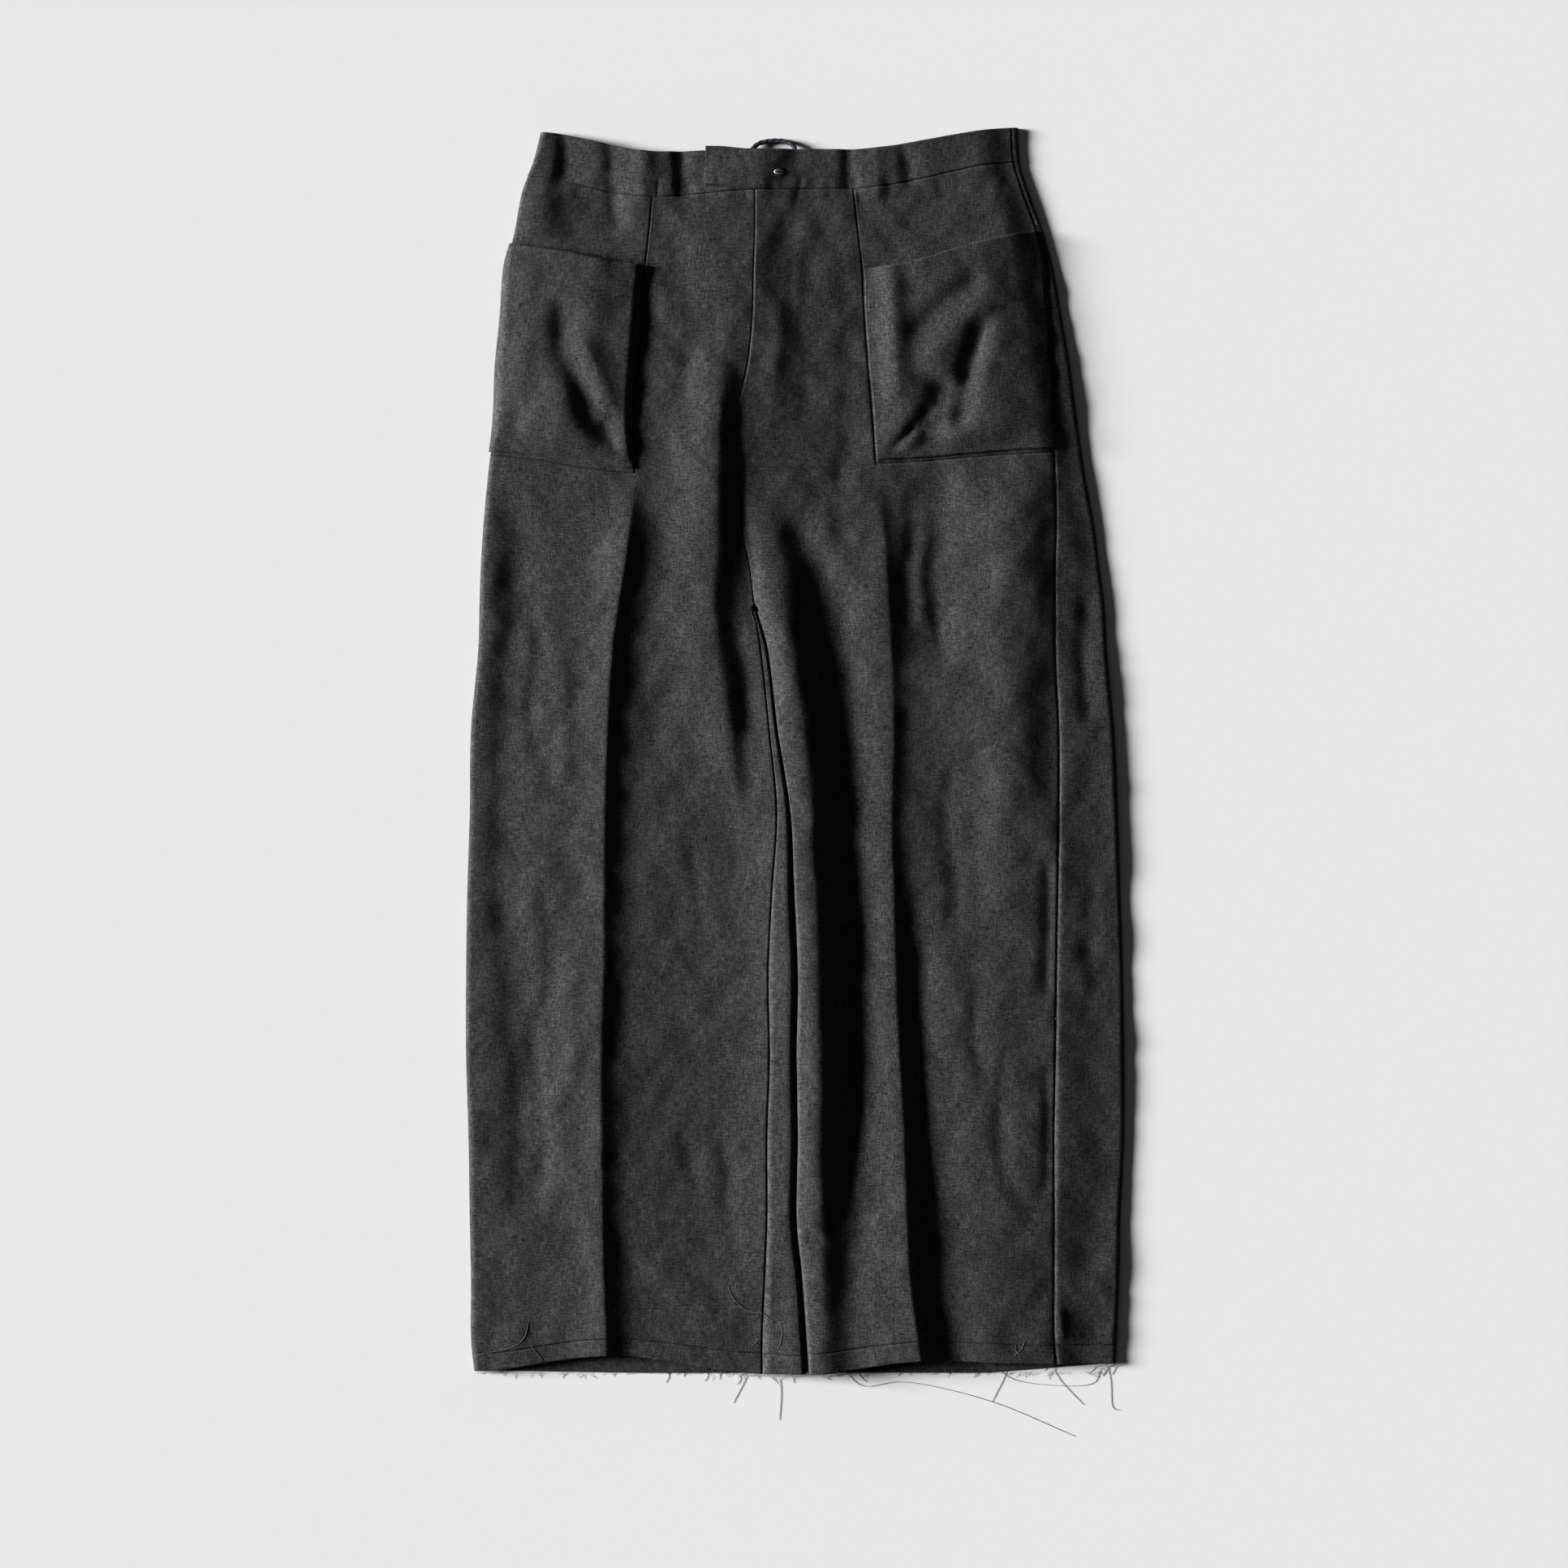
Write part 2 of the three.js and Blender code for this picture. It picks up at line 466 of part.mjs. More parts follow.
// A closed thin wall on the cells of a lattice that are active. Its free edges stand back by half a seam gap.
function wallGeometry(lattice, active, thickness, flip) {
  const { points, normals } = lattice;
  const [rowCount, columnCount] = [points.length, points[0].length];
  const isActive = (row, column) =>
    row >= 0 && column >= 0 && row < rowCount - 1 && column < columnCount - 1 && active(row, column);
  const outer = new Map();
  const inner = new Map();
  const position = [];
  const key = (row, column) => row * columnCount + column;
  for (let row = 0; row < rowCount; row += 1) {
    for (let column = 0; column < columnCount; column += 1) {
      const around = [
        isActive(row - 1, column - 1), isActive(row - 1, column), isActive(row, column - 1), isActive(row, column),
      ];
      if (!around.some(Boolean)) continue;
      const [lowLeft, lowRight, highLeft, highRight] = around.map(Number);
      const sideways = Math.sign(lowRight + highRight - lowLeft - highLeft);
      const upwards = Math.sign(highLeft + highRight - lowLeft - lowRight);
      const point = points[row][column].clone();
      if (sideways) point.add(stepBack(point, points[row][column + sideways]));
      if (upwards) point.add(stepBack(point, points[row + upwards][column]));
      const half = normals[row][column].clone().multiplyScalar(thickness / 2);
      outer.set(key(row, column), position.length / 3);
      position.push(...point.clone().add(half).toArray());
      inner.set(key(row, column), position.length / 3);
      position.push(...point.clone().sub(half).toArray());
    }
  }
  const index = [];
  const quad = (a, b, c, d) => index.push(...(flip > 0 ? [a, b, c, a, c, d] : [a, c, b, a, d, c]));
  for (let row = 0; row < rowCount - 1; row += 1) {
    for (let column = 0; column < columnCount - 1; column += 1) {
      if (!isActive(row, column)) continue;
      const corners = [key(row, column), key(row, column + 1), key(row + 1, column + 1), key(row + 1, column)];
      const [a, b, c, d] = corners.map((corner) => outer.get(corner));
      const [e, f, g, h] = corners.map((corner) => inner.get(corner));
      quad(a, b, c, d);
      quad(h, g, f, e);
      if (!isActive(row - 1, column)) quad(e, f, b, a);
      if (!isActive(row + 1, column)) quad(d, c, g, h);
      if (!isActive(row, column - 1)) quad(e, a, d, h);
      if (!isActive(row, column + 1)) quad(b, f, g, c);
    }
  }
  const geometry = new THREE.BufferGeometry();
  geometry.setAttribute("position", new THREE.Float32BufferAttribute(position, 3));
  geometry.setIndex(index);
  return geometry;
}

function stepBack(point, neighbour) {
  const step = neighbour.clone().sub(point);
  const length = step.length();
  return step.multiplyScalar(length > 0 ? Math.min(SEAM_GAP / 2 / length, 0.4) : 0);
}

// A prism of a flat section swept along a path. corners are [sideways, upwards] from the path.
function sweepGeometry(path, corners) {
  const position = [];
  path.forEach((point, i) => {
    const before = path[Math.max(i - 1, 0)];
    const after = path[Math.min(i + 1, path.length - 1)];
    const heading = new THREE.Vector2(after.x - before.x, after.y - before.y).normalize();
    for (const [side, up] of corners) {
      position.push(point.x - heading.y * side, point.y + heading.x * side, point.z + up);
    }
  });
  const count = corners.length;
  const index = [];
  for (let i = 0; i < path.length - 1; i += 1) {
    for (let j = 0; j < count; j += 1) {
      const [a, b] = [i * count + j, i * count + ((j + 1) % count)];
      index.push(a, a + count, b, b, a + count, b + count);
    }
  }
  const end = (path.length - 1) * count;
  for (let j = 1; j < count - 1; j += 1) {
    index.push(0, j, j + 1, end, end + j + 1, end + j);
  }
  const geometry = new THREE.BufferGeometry();
  geometry.setAttribute("position", new THREE.Float32BufferAttribute(position, 3));
  geometry.setIndex(index);
  return geometry;
}

function toManifold(geometry) {
  const copy = geometry.clone();
  copy.deleteAttribute("normal");
  copy.deleteAttribute("uv");
  const merged = mergeVertices(copy, 1e-4);
  const vertProperties = new Float32Array(merged.attributes.position.array);
  const triVerts = new Uint32Array(merged.index.array);
  return new wasm.Manifold(new wasm.Mesh({ numProp: 3, vertProperties, triVerts }));
}

function toGeometry(solid) {
  const mesh = solid.getMesh();
  const geometry = new THREE.BufferGeometry();
  geometry.setAttribute("position", new THREE.Float32BufferAttribute(mesh.vertProperties, 3));
  geometry.setIndex(new THREE.Uint32BufferAttribute(mesh.triVerts, 1));
  return geometry;
}

const trousers = new THREE.Group();

const twill = { color: 0x35322f, roughness: 0.95, metalness: 0 };
const braid = { color: 0x1a1e28, roughness: 0.85, metalness: 0 };
const steel = { color: 0xb9bcc0, roughness: 0.3, metalness: 1 };

function add(name, geometry, finish) {
  const mesh = new THREE.Mesh(geometry, new THREE.MeshStandardMaterial(finish));
  mesh.name = name;
  trousers.add(mesh);
}

// Rows of a half by name
function rowsOf(rows) {
  const find = (name) => rows.findIndex((row) => row.name === name);
  return {
    hemSeam: find("hem seam"),
    legsPart: find("legs part"),
    pocketBottom: find("pocket bottom"),
    pocketMouth: find("pocket mouth"),
    waistSeam: find("waist seam"),
    bandSeam: find("band seam"),
    bandTop: find("band top"),
  };
}

// The right half's panels
const rightRows = rowsOf(RIGHT_ROWS);
const rightLive = (row, column) =>
  row !== rightRows.waistSeam && (column < RIGHT.floorEnd || row < rightRows.legsPart);
const rightLattice = makeLattice(RIGHT_ROWS, rightColumns, rightLive, -1, 0);

function addRight(name, active, thickness = CLOTH) {
  const cells = (row, column) => rightLive(row, column) && active(row, column);
  add(name, wallGeometry(rightLattice, cells, thickness, -1), twill);
}

const rightOnYoke = (row, column) => row >= rightRows.pocketBottom && column >= RIGHT.crease;
const rightOnFront = (row, column) => column < RIGHT.side;
addRight("hem_front_right", (row, column) => row < rightRows.hemSeam && rightOnFront(row, column));
addRight("hem_back_right", (row, column) => row < rightRows.hemSeam && !rightOnFront(row, column));
addRight("front_right", (row, column) =>
  row >= rightRows.hemSeam && row < rightRows.waistSeam && rightOnFront(row, column) && !rightOnYoke(row, column));
addRight("side_yoke_right", (row, column) =>
  row < rightRows.waistSeam && rightOnFront(row, column) && rightOnYoke(row, column));
addRight("back_right", (row, column) =>
  row >= rightRows.hemSeam && row < rightRows.waistSeam && !rightOnFront(row, column));
addRight("waistband_front_right", (row, column) => row >= rightRows.bandSeam && rightOnFront(row, column), BAND_CLOTH);

// The left half's panels
const leftRows = rowsOf(LEFT_ROWS);
const leftLive = (row, column) =>
  row !== leftRows.waistSeam && (column >= LEFT.top || row < leftRows.legsPart);
const leftLattice = makeLattice(LEFT_ROWS, leftColumns, leftLive, 1, LEFT.top);

function addLeft(name, active, thickness = CLOTH) {
  const cells = (row, column) => leftLive(row, column) && active(row, column);
  add(name, wallGeometry(leftLattice, cells, thickness, 1), twill);
}

const leftOnYoke = (row, column) => row >= leftRows.pocketBottom && column >= LEFT.crease;
const leftOnFront = (row, column) => column < LEFT.side;
addLeft("hem_front_left", (row, column) => row < leftRows.hemSeam && leftOnFront(row, column));
addLeft("hem_back_left", (row, column) => row < leftRows.hemSeam && !leftOnFront(row, column));
addLeft("front_left", (row, column) =>
  row >= leftRows.hemSeam && row < leftRows.waistSeam && leftOnFront(row, column) && !leftOnYoke(row, column));
addLeft("side_yoke_left", (row, column) =>
  row < leftRows.waistSeam && leftOnFront(row, column) && leftOnYoke(row, column));
addLeft("back_left", (row, column) =>
  row >= leftRows.hemSeam && row < leftRows.waistSeam && !leftOnFront(row, column));

// A point of a lattice between its rows and columns, with the normal there
function sampleLattice(lattice, row, column) {
  const [lowRow, lowColumn] = [Math.floor(row), Math.floor(column)];
  const [up, across] = [row - lowRow, column - lowColumn];
  const [nextRow, nextColumn] = [up > 0 ? lowRow + 1 : lowRow, across > 0 ? lowColumn + 1 : lowColumn];
  const blend = (grid) => {
    const low = grid[lowRow][lowColumn].clone().lerp(grid[lowRow][nextColumn], across);
    const high = grid[nextRow][lowColumn].clone().lerp(grid[nextRow][nextColumn], across);
    return low.lerp(high, up);
  };
  return { point: blend(lattice.points), normal: blend(lattice.normals).normalize() };
}

// The waistband's back goes from the left side seam over the edge and along the ground to the right side seam.
const bandRows = [0, 1, 2];
const backBand = {
  points: bandRows.map((row) => [
    ...leftLattice.points[leftRows.bandSeam + row].slice(LEFT.side),
    ...rightLattice.points[rightRows.bandSeam + row].slice(RIGHT.side, RIGHT.floorEnd).reverse(),
  ]),
  normals: bandRows.map((row) => [
    ...leftLattice.normals[leftRows.bandSeam + row].slice(LEFT.side),
    ...rightLattice.normals[rightRows.bandSeam + row].slice(RIGHT.side, RIGHT.floorEnd).reverse(),
  ]),
};
add("waistband_back", wallGeometry(backBand, everyCell, BAND_CLOTH, 1), twill);

// The waistband's left front ends in the tab, which is the right front's points moved out by its thickness.
const TAB_COLUMNS = [4.43, 4, 3, 2, 1]; // places across the right lattice, from the tab's end to the centre
const TAB_STEP = BAND_CLOTH + SEAM_GAP;
const TAB_SETTLE = 14; // beyond the centre the band comes down to its own front over this length
const TAB_REACH = 42; // the tab climbs over this length, by these heights at its foot and its top
const TAB_FOOT_RISE = 6.5;
const TAB_TOP_RISE = 3.5;
const frontBand = withNormals(
  bandRows.map((row) => {
    const tab = TAB_COLUMNS.map((column) => {
      const { point, normal } = sampleLattice(rightLattice, rightRows.bandSeam + row, column);
      const rise = lerp(TAB_FOOT_RISE, TAB_TOP_RISE, row / (bandRows.length - 1));
      point.y += rise * smooth((lineAt("centre", point.y) - point.x) / TAB_REACH);
      return point.addScaledVector(normal, TAB_STEP);
    });
    const front = leftLattice.points[leftRows.bandSeam + row].slice(LEFT.top, LEFT.side + 1).map((point) => {
      const lift = (TAB_STEP - FLY_STEP) * (1 - smooth((point.x - lineAt("centre", point.y)) / TAB_SETTLE));
      return point.clone().setZ(point.z + lift);
    });
    return [...tab, ...front];
  }),
  1,
);
add("waistband_front_left", wallGeometry(frontBand, everyCell, BAND_CLOTH, 1), twill);

// Pockets: each is its yoke's points moved out. column is a place across the yoke's lattice.
const RIGHT_POCKET = [
  { column: 9.1, lift: 0 }, { column: 9.4, lift: 0.8 }, { column: 9.6, lift: 0.9 }, { column: 10, lift: 0.95 },
  { column: 10.5, lift: 1.05 }, { column: 11, lift: 1.2 }, { column: 11.5, lift: 1.3 }, { column: 12, lift: 1.25 },
  { column: 12.5, lift: 1.15 }, { column: 13, lift: 1.05 }, { column: 13.5, lift: 1 }, { column: 14, lift: 1 },
  { column: 14.5, lift: 0.85 }, { column: 15, lift: 0.6 }, { column: 16, lift: 0.2 }, { column: 17, lift: 0 },
  { column: 17.4, lift: 0 },
];
const LEFT_POCKET = [
  { column: 14.1, lift: 0 }, { column: 14.7, lift: 0.2 }, { column: 15, lift: 0.35 }, { column: 15.5, lift: 0.6 },
  { column: 16, lift: 0.8 }, { column: 16.5, lift: 0.9 }, { column: 17, lift: 0.95 }, { column: 17.5, lift: 1 },
  { column: 18, lift: 1 }, { column: 18.5, lift: 0.95 }, { column: 19, lift: 0.9 }, { column: 19.5, lift: 0.7 },
  { column: 20, lift: 0.45 }, { column: 20.5, lift: 0.2 }, { column: 20.92, lift: 0 },
];
const POCKET_ROWS = [0.08, 0.3, 0.6, 1, 1.5, 2, 2.5, 3, 3.5, 4]; // up from the pocket's bottom
const POCKET_FILL = 0.5; // rows over which a pocket comes up to its full lift

function pocketGeometry(lattice, firstRow, columns, flip) {
  const points = POCKET_ROWS.map((up) =>
    columns.map(({ column, lift }) => {
      const { point, normal } = sampleLattice(lattice, firstRow + up, column);
      const fullness = lift * smooth((up - POCKET_ROWS[0]) / POCKET_FILL);
      let stand = POCKET_LIFT;
      for (const fold of POCKET_FOLDS) stand += foldRise(fold, point.x, point.y);
      return point.addScaledVector(normal, CLOTH + SEAM_GAP + fullness * Math.max(stand, 0));
    }),
  );
  return wallGeometry(withNormals(points, flip), everyCell, CLOTH, flip);
}

add("pocket_right", pocketGeometry(rightLattice, rightRows.pocketBottom, RIGHT_POCKET, -1), twill);
add("pocket_left", pocketGeometry(leftLattice, leftRows.pocketBottom, LEFT_POCKET, 1), twill);

// The eyelet lies on the waistband, and the hook's wire comes up in it and bends back over its left side.
function bandPlace(x, row) {
  const columns = frontBand.points[Math.round(row)];
  const next = columns.findIndex((point) => point.x > x);
  const share = (x - columns[next - 1].x) / (columns[next].x - columns[next - 1].x);
  return sampleLattice(frontBand, row, next - 1 + share);
}

const hookSeat = bandPlace(HOOK_PLACE.x, HOOK_PLACE.row);
const onBand = new THREE.Quaternion().setFromUnitVectors(new THREE.Vector3(0, 0, 1), hookSeat.normal);

function placeOnBand(geometry, height) {
  const place = hookSeat.point.clone().addScaledVector(hookSeat.normal, BAND_CLOTH / 2 + height);
  return geometry.applyQuaternion(onBand).translate(place.x, place.y, place.z);
}

const EYELET_STAND = EYELET_ROLL + SEAM_GAP + 0.1;
add("hook_eyelet", placeOnBand(new THREE.TorusGeometry(EYELET_RADIUS, EYELET_ROLL, 8, 20), EYELET_STAND), braid);

function roundSection(radius, sides) {
  const section = new THREE.Shape();
  for (let i = 0; i < sides; i += 1) {
    const angle = (i / sides) * Math.PI * 2;
    const corner = [radius * Math.cos(angle), radius * Math.sin(angle)];
    if (i === 0) section.moveTo(...corner);
    else section.lineTo(...corner);
  }
  return section;
}

const HOOK_REACH = 5.4; // from the middle of the eyelet to the hook's round end
const HOOK_WIDTH = 2.4; // between the middles of its two wires
const hookHigh = EYELET_ROLL * 2 + SEAM_GAP * 2 + WIRE / 2;
const hookLow = WIRE / 2 + SEAM_GAP + 0.3;
const hookRoute = [
  [0.9, -1, hookLow], [-0.6, -1, lerp(hookLow, hookHigh, 0.7)], [-2.2, -1, hookHigh], [-4, -1, hookHigh],
  [-5, -0.7, hookHigh], [-HOOK_REACH, 0, hookHigh], [-5, 0.7, hookHigh], [-4, 1, hookHigh],
  [-2.2, 1, hookHigh], [-0.6, 1, lerp(hookLow, hookHigh, 0.7)], [0.9, 1, hookLow],
].map(([x, side, z]) => new THREE.Vector3(x, (side * HOOK_WIDTH) / 2, z));
const hookWire = new THREE.ExtrudeGeometry(roundSection(WIRE / 2, 6), {
  steps: 24,
  bevelEnabled: false,
  extrudePath: new THREE.CatmullRomCurve3(hookRoute),
});
add("waist_hook", placeOnBand(hookWire, 0), steel);

// The drawcord
const cordPath = new THREE.CatmullRomCurve3(CORD_ROUTE.map(([x, y, z]) => new THREE.Vector3(x, y, z)));
const cordTube = new THREE.ExtrudeGeometry(roundSection(CORD / 2, 10), {
  steps: 18,
  bevelEnabled: false,
  extrudePath: cordPath,
});
add("drawcord", cordTube, braid);

// Loose threads, rooted in a narrow strip beside the back's raw edge
const STRIP = { deep: 1.6, low: 0.25, high: 1.1 };
const stripCorners = [[0, STRIP.low], [-STRIP.deep, STRIP.low], [-STRIP.deep, STRIP.high], [0, STRIP.high]];
const threadCorners = [[THREAD / 2, 0], [-THREAD / 2, 0], [0, THREAD * 0.87]];
const THREAD_STEPS = [0, 0.12, 0.3, 0.5, 0.7, 0.86, 1];

function frayGeometry(rows, floorStart, floorEnd, start, end, threads) {
  const rawEdge = (x) => {
    const share = (x - floorStart) / (floorEnd - floorStart);
    return lerp(rows[0].edge, rows[0].back, Math.min(share * 2, 1)) - SEAM_GAP;
  };
  const stripPath = [start, (floorStart + floorEnd) / 2, end].map((x) => new THREE.Vector3(x, rawEdge(x), 0));
  let solid = toManifold(sweepGeometry(stripPath, stripCorners));
  for (const { x, reach, lean, bow, level } of threads) {
    const root = rawEdge(x) - STRIP.deep / 2;
    const path = THREAD_STEPS.map((share) => {
      const arc = Math.sin(Math.PI * share) * bow;
      const z = STRIP.low + level * smooth(share / 0.3);
      return new THREE.Vector3(x + lean * share + arc, root - reach * share, z);
    });
    solid = solid.add(toManifold(sweepGeometry(path, threadCorners)));
  }
  return toGeometry(solid);
}

add("fray_right", frayGeometry(RIGHT_ROWS, rightSide(0), rightFloorEnd(0), -247, 0, RIGHT_THREADS), twill);
add("fray_left", frayGeometry(LEFT_ROWS, leftFloorTangent(0), leftBackEnd(0), 22, 250, LEFT_THREADS), twill);

// The origin lies under the middle of the whole part.
const MIDDLE = { x: 0.6, y: 481.2 };
trousers.position.set(-MIDDLE.x, -MIDDLE.y, 0);

export default trousers;
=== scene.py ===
"""Wide-leg trousers of heavy dark twill, laid flat with the front up.

Sizes are in millimetres, as in the part's own source, and are turned into metres where a mesh is made.
x runs across the cloth, y runs up from the hem to the waist and z is the height above the surface that the
cloth lies on. Right and left are the wearer's, so the right leg is at negative x.

Each half of the garment is a flattened tube. Its surface is a function of two parameters, a row that runs
from the hem to the waist and a column that goes round from the front over the outer edge to the back.
Every panel is a part of that surface with a thickness.
"""

import logging
import math
from dataclasses import dataclass, field
from enum import Enum
from typing import Callable, Optional, Sequence

import bpy
import numpy as np
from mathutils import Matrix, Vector


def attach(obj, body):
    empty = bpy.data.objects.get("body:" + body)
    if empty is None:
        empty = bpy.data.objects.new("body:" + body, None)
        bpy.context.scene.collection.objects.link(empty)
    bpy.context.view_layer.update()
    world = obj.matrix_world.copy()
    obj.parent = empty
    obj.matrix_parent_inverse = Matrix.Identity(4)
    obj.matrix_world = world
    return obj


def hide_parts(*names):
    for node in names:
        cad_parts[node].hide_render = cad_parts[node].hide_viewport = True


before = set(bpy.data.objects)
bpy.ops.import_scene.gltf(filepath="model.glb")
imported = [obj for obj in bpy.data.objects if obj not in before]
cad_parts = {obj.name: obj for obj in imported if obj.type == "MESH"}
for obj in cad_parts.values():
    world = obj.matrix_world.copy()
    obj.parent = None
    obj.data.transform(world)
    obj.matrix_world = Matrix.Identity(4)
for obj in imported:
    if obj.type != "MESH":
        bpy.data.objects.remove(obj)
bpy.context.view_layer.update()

log = logging.getLogger("trousers")

Array = np.ndarray
Line = Callable[[Array], Array]

Point = tuple[float, float]
Colour = tuple[float, float, float]

MM = 0.001
TINY = 1e-9

# Driving sizes, as in the part's source
CLOTH = 1.4
BAND_CLOTH = 2.2
SEAM_GAP = 0.3
HAIR = 0.02
LOFT = 8.5
RIGHT_FALL = 2.0
RIGHT_FALL_WIDTH = 45.0
LEFT_FALL = 6.0
LEFT_FALL_WIDTH = 60.0
LEFT_HIP_FALL_WIDTH = 34.0
LEAST_HEIGHT = 3.8
LEG_GAP = 1.2
CROTCH = 624.0
CROTCH_STEP = 4.0
WAIST_RADIUS = 3.0
EDGE_MIDDLE = 0.45
SIDE_UNDER = 3.0
INSEAM_UNDER = 40.0
FLY_STEP = 1.8
FLY_WIDTH = 32.0
FLY_FOOT = 832.0
CREASE_FOOT = 9.0
POCKET_LIFT = 6.0
WIRE = 0.9
EYELET_RADIUS = 2.9
EYELET_ROLL = 0.85
TAB_STEP = BAND_CLOTH + SEAM_GAP
TAB_SETTLE = 14.0
TAB_REACH = 42.0
TAB_FOOT_RISE = 6.5
TAB_TOP_RISE = 3.5
MIDDLE = np.array([0.6, 481.2, 0.0])

# Sizes that follow the photograph a little closer than the part's own
LEG_GAP_TOP = 0.4
OUTER_RADIUS = 4.5
INNER_RADIUS = 3.5
CROTCH_RADIUS = 1.0
CORD = 4.0
HOOK_X = -11.0
HOOK_ROW = 0.86

# Heights where a width or a radius begins to change, each with the length over which it does
HIP_FOOT, HIP_RISE = 560.0, 120.0
WAIST_FOOT, WAIST_RISE = 850.0, 80.0
YOKE_FOOT, YOKE_FALL = 760.0, 60.0
GAP_TOP, GAP_FALL = 500.0, 120.0
ROUND_TOP, ROUND_FALL = 520.0, 200.0

# How far the left front runs under at the crotch, and over what length it comes to its full reach
CROTCH_UNDER = 8.0
INSEAM_FALL = 140.0

# The length over which the fly's step comes in, and the least share of the crease's foot above the pocket
FLY_RISE = 20.0
LEAST_FOOT = 0.5

# The least distance of the inseam from the inner fold, and of the left side seam from the outer one
INSEAM_MARGIN = 0.5
SIDE_MARGIN = 0.8

# The photograph's scale and where the centre line and the hem lie in it, in pixels
PIXEL = 0.66
PICTURE_CENTRE = 979.0
PICTURE_HEM = 1693.0

# Lines that run down the garment, a row for each height above the hem
LINE_COLUMNS = (
    "y", "right_edge", "right_crease", "inseam", "centre", "left_crease", "left_side", "left_edge",
)
LINE_ROWS = np.array([
    [0, -260, -153, -26, 11, 103, 214, 261],
    [30, -263, -153, -26, 9, 100, 211, 262],
    [75, -263, -155, -24, 6, 94, 211, 264],
    [127, -264, -156, -22, 1, 91, 211, 265],
    [193, -265, -157, -22, 2, 89, 211, 268],
    [259, -267, -157, -20, 1, 85, 212, 268],
    [325, -267, -155, -21, 2, 82, 213, 267],
    [391, -266, -155, -18, -1, 80, 214, 265],
    [457, -264, -154, -14, -4, 78, 215, 263],
    [523, -263, -152, -20, -14, 80, 215, 260],
    [589, -257, -148, -27, -22, 78, 212, 254],
    [626, -256, -143, -33, -32, 76, 212, 252],
    [655, -255, -138, -36, -36, 74, 212, 248],
    [688, -253, -134, -43, -43, 71, 213, 244],
    [732, -249, -129, -47, -47, 67, 212, 236],
    [774, -244, -131, -48, -48, 64, 210, 230],
    [820, -242, -128, -38, -38, 60, 208, 224],
    [860, -238, -125, -34, -34, 57, 206, 217],
    [900, -235, -121, -33, -33, 55, 204, 210],
    [926, -228, -118, -32, -32, 52, 200, 203],
    [962, -221, -115, -32, -32, 48, 186, 190],
    [985, -212, -114, -32, -32, 48, 179, 183],
    [1012, -205, -114, -32, -32, 48, 177, 181],
], dtype=float)
LINE_HEIGHTS = LINE_ROWS[:, 0]
SETTLING = 0.7


def settled(share: Array) -> Array:
    """Bends a straight share towards one with level ends, as seams lie between their fixed points."""
    return lerp(share, smooth(share), SETTLING)


def lerp(start: Array, end: Array, share: Array) -> Array:
    """Goes straight from start to end as share goes from 0 to 1."""
    return start + (end - start) * share


def smooth(value: Array) -> Array:
    """Goes from 0 to 1 with level ends, as three squares less two cubes of the value."""
    share = np.clip(value, 0.0, 1.0)
    return share * share * (3.0 - 2.0 * share)


def between(value: Array, low: float, high: float, fade: float) -> Array:
    """1 between low and high, going smoothly down to 0 at both over the length fade."""
    return smooth((value - low) / fade) * smooth((high - value) / fade)


def kept_above(height: Array, least: float, softness: float) -> Array:
    """The height, bent softly so that it never falls below the least one."""
    over = height - least
    return least + (over + np.hypot(over, softness)) / 2


def unit(vectors: Array) -> Array:
    """Vectors along the last axis, each brought to the length 1."""
    return vectors / np.maximum(np.linalg.norm(vectors, axis=-1, keepdims=True), TINY)


def distances(path: Array) -> Array:
    """Length along a path from its first point to each of its points."""
    return np.concatenate([[0.0], np.cumsum(np.linalg.norm(np.diff(path, axis=0), axis=1))])


def line_at(name: str, y: Array) -> Array:
    """x of a named line at the heights y: a cubic through the table's rows.

    Its slope at a row is that of the straight line from the row before to the row after.

    Args:
        name: One of LINE_COLUMNS.
        y: Heights above the hem.

    Returns:
        An array of the shape of y.
    """
    values = LINE_ROWS[:, LINE_COLUMNS.index(name)]
    last = len(LINE_HEIGHTS) - 1
    row = np.clip(np.searchsorted(LINE_HEIGHTS, y, side="left") - 1, 0, last - 1)
    before = np.maximum(row - 1, 0)
    after = np.minimum(row + 2, last)
    span = LINE_HEIGHTS[row + 1] - LINE_HEIGHTS[row]
    share = np.clip((y - LINE_HEIGHTS[row]) / span, 0.0, 1.0)
    start_slope = (values[row + 1] - values[before]) / (LINE_HEIGHTS[row + 1] - LINE_HEIGHTS[before]) * span
    end_slope = (values[after] - values[row]) / (LINE_HEIGHTS[after] - LINE_HEIGHTS[row]) * span
    square, cube = share ** 2, share ** 3
    return (values[row] * (2 * cube - 3 * square + 1) + start_slope * (cube - 2 * square + share)
            + values[row + 1] * (3 * square - 2 * cube) + end_slope * (cube - square))


def line_between(name: str, low: float, high: float) -> list[Point]:
    """Points (x, y) of a named line's own rows from the height low to the height high."""
    place = LINE_COLUMNS.index(name)
    return [(row[place], row[0]) for row in LINE_ROWS if low <= row[0] <= high]


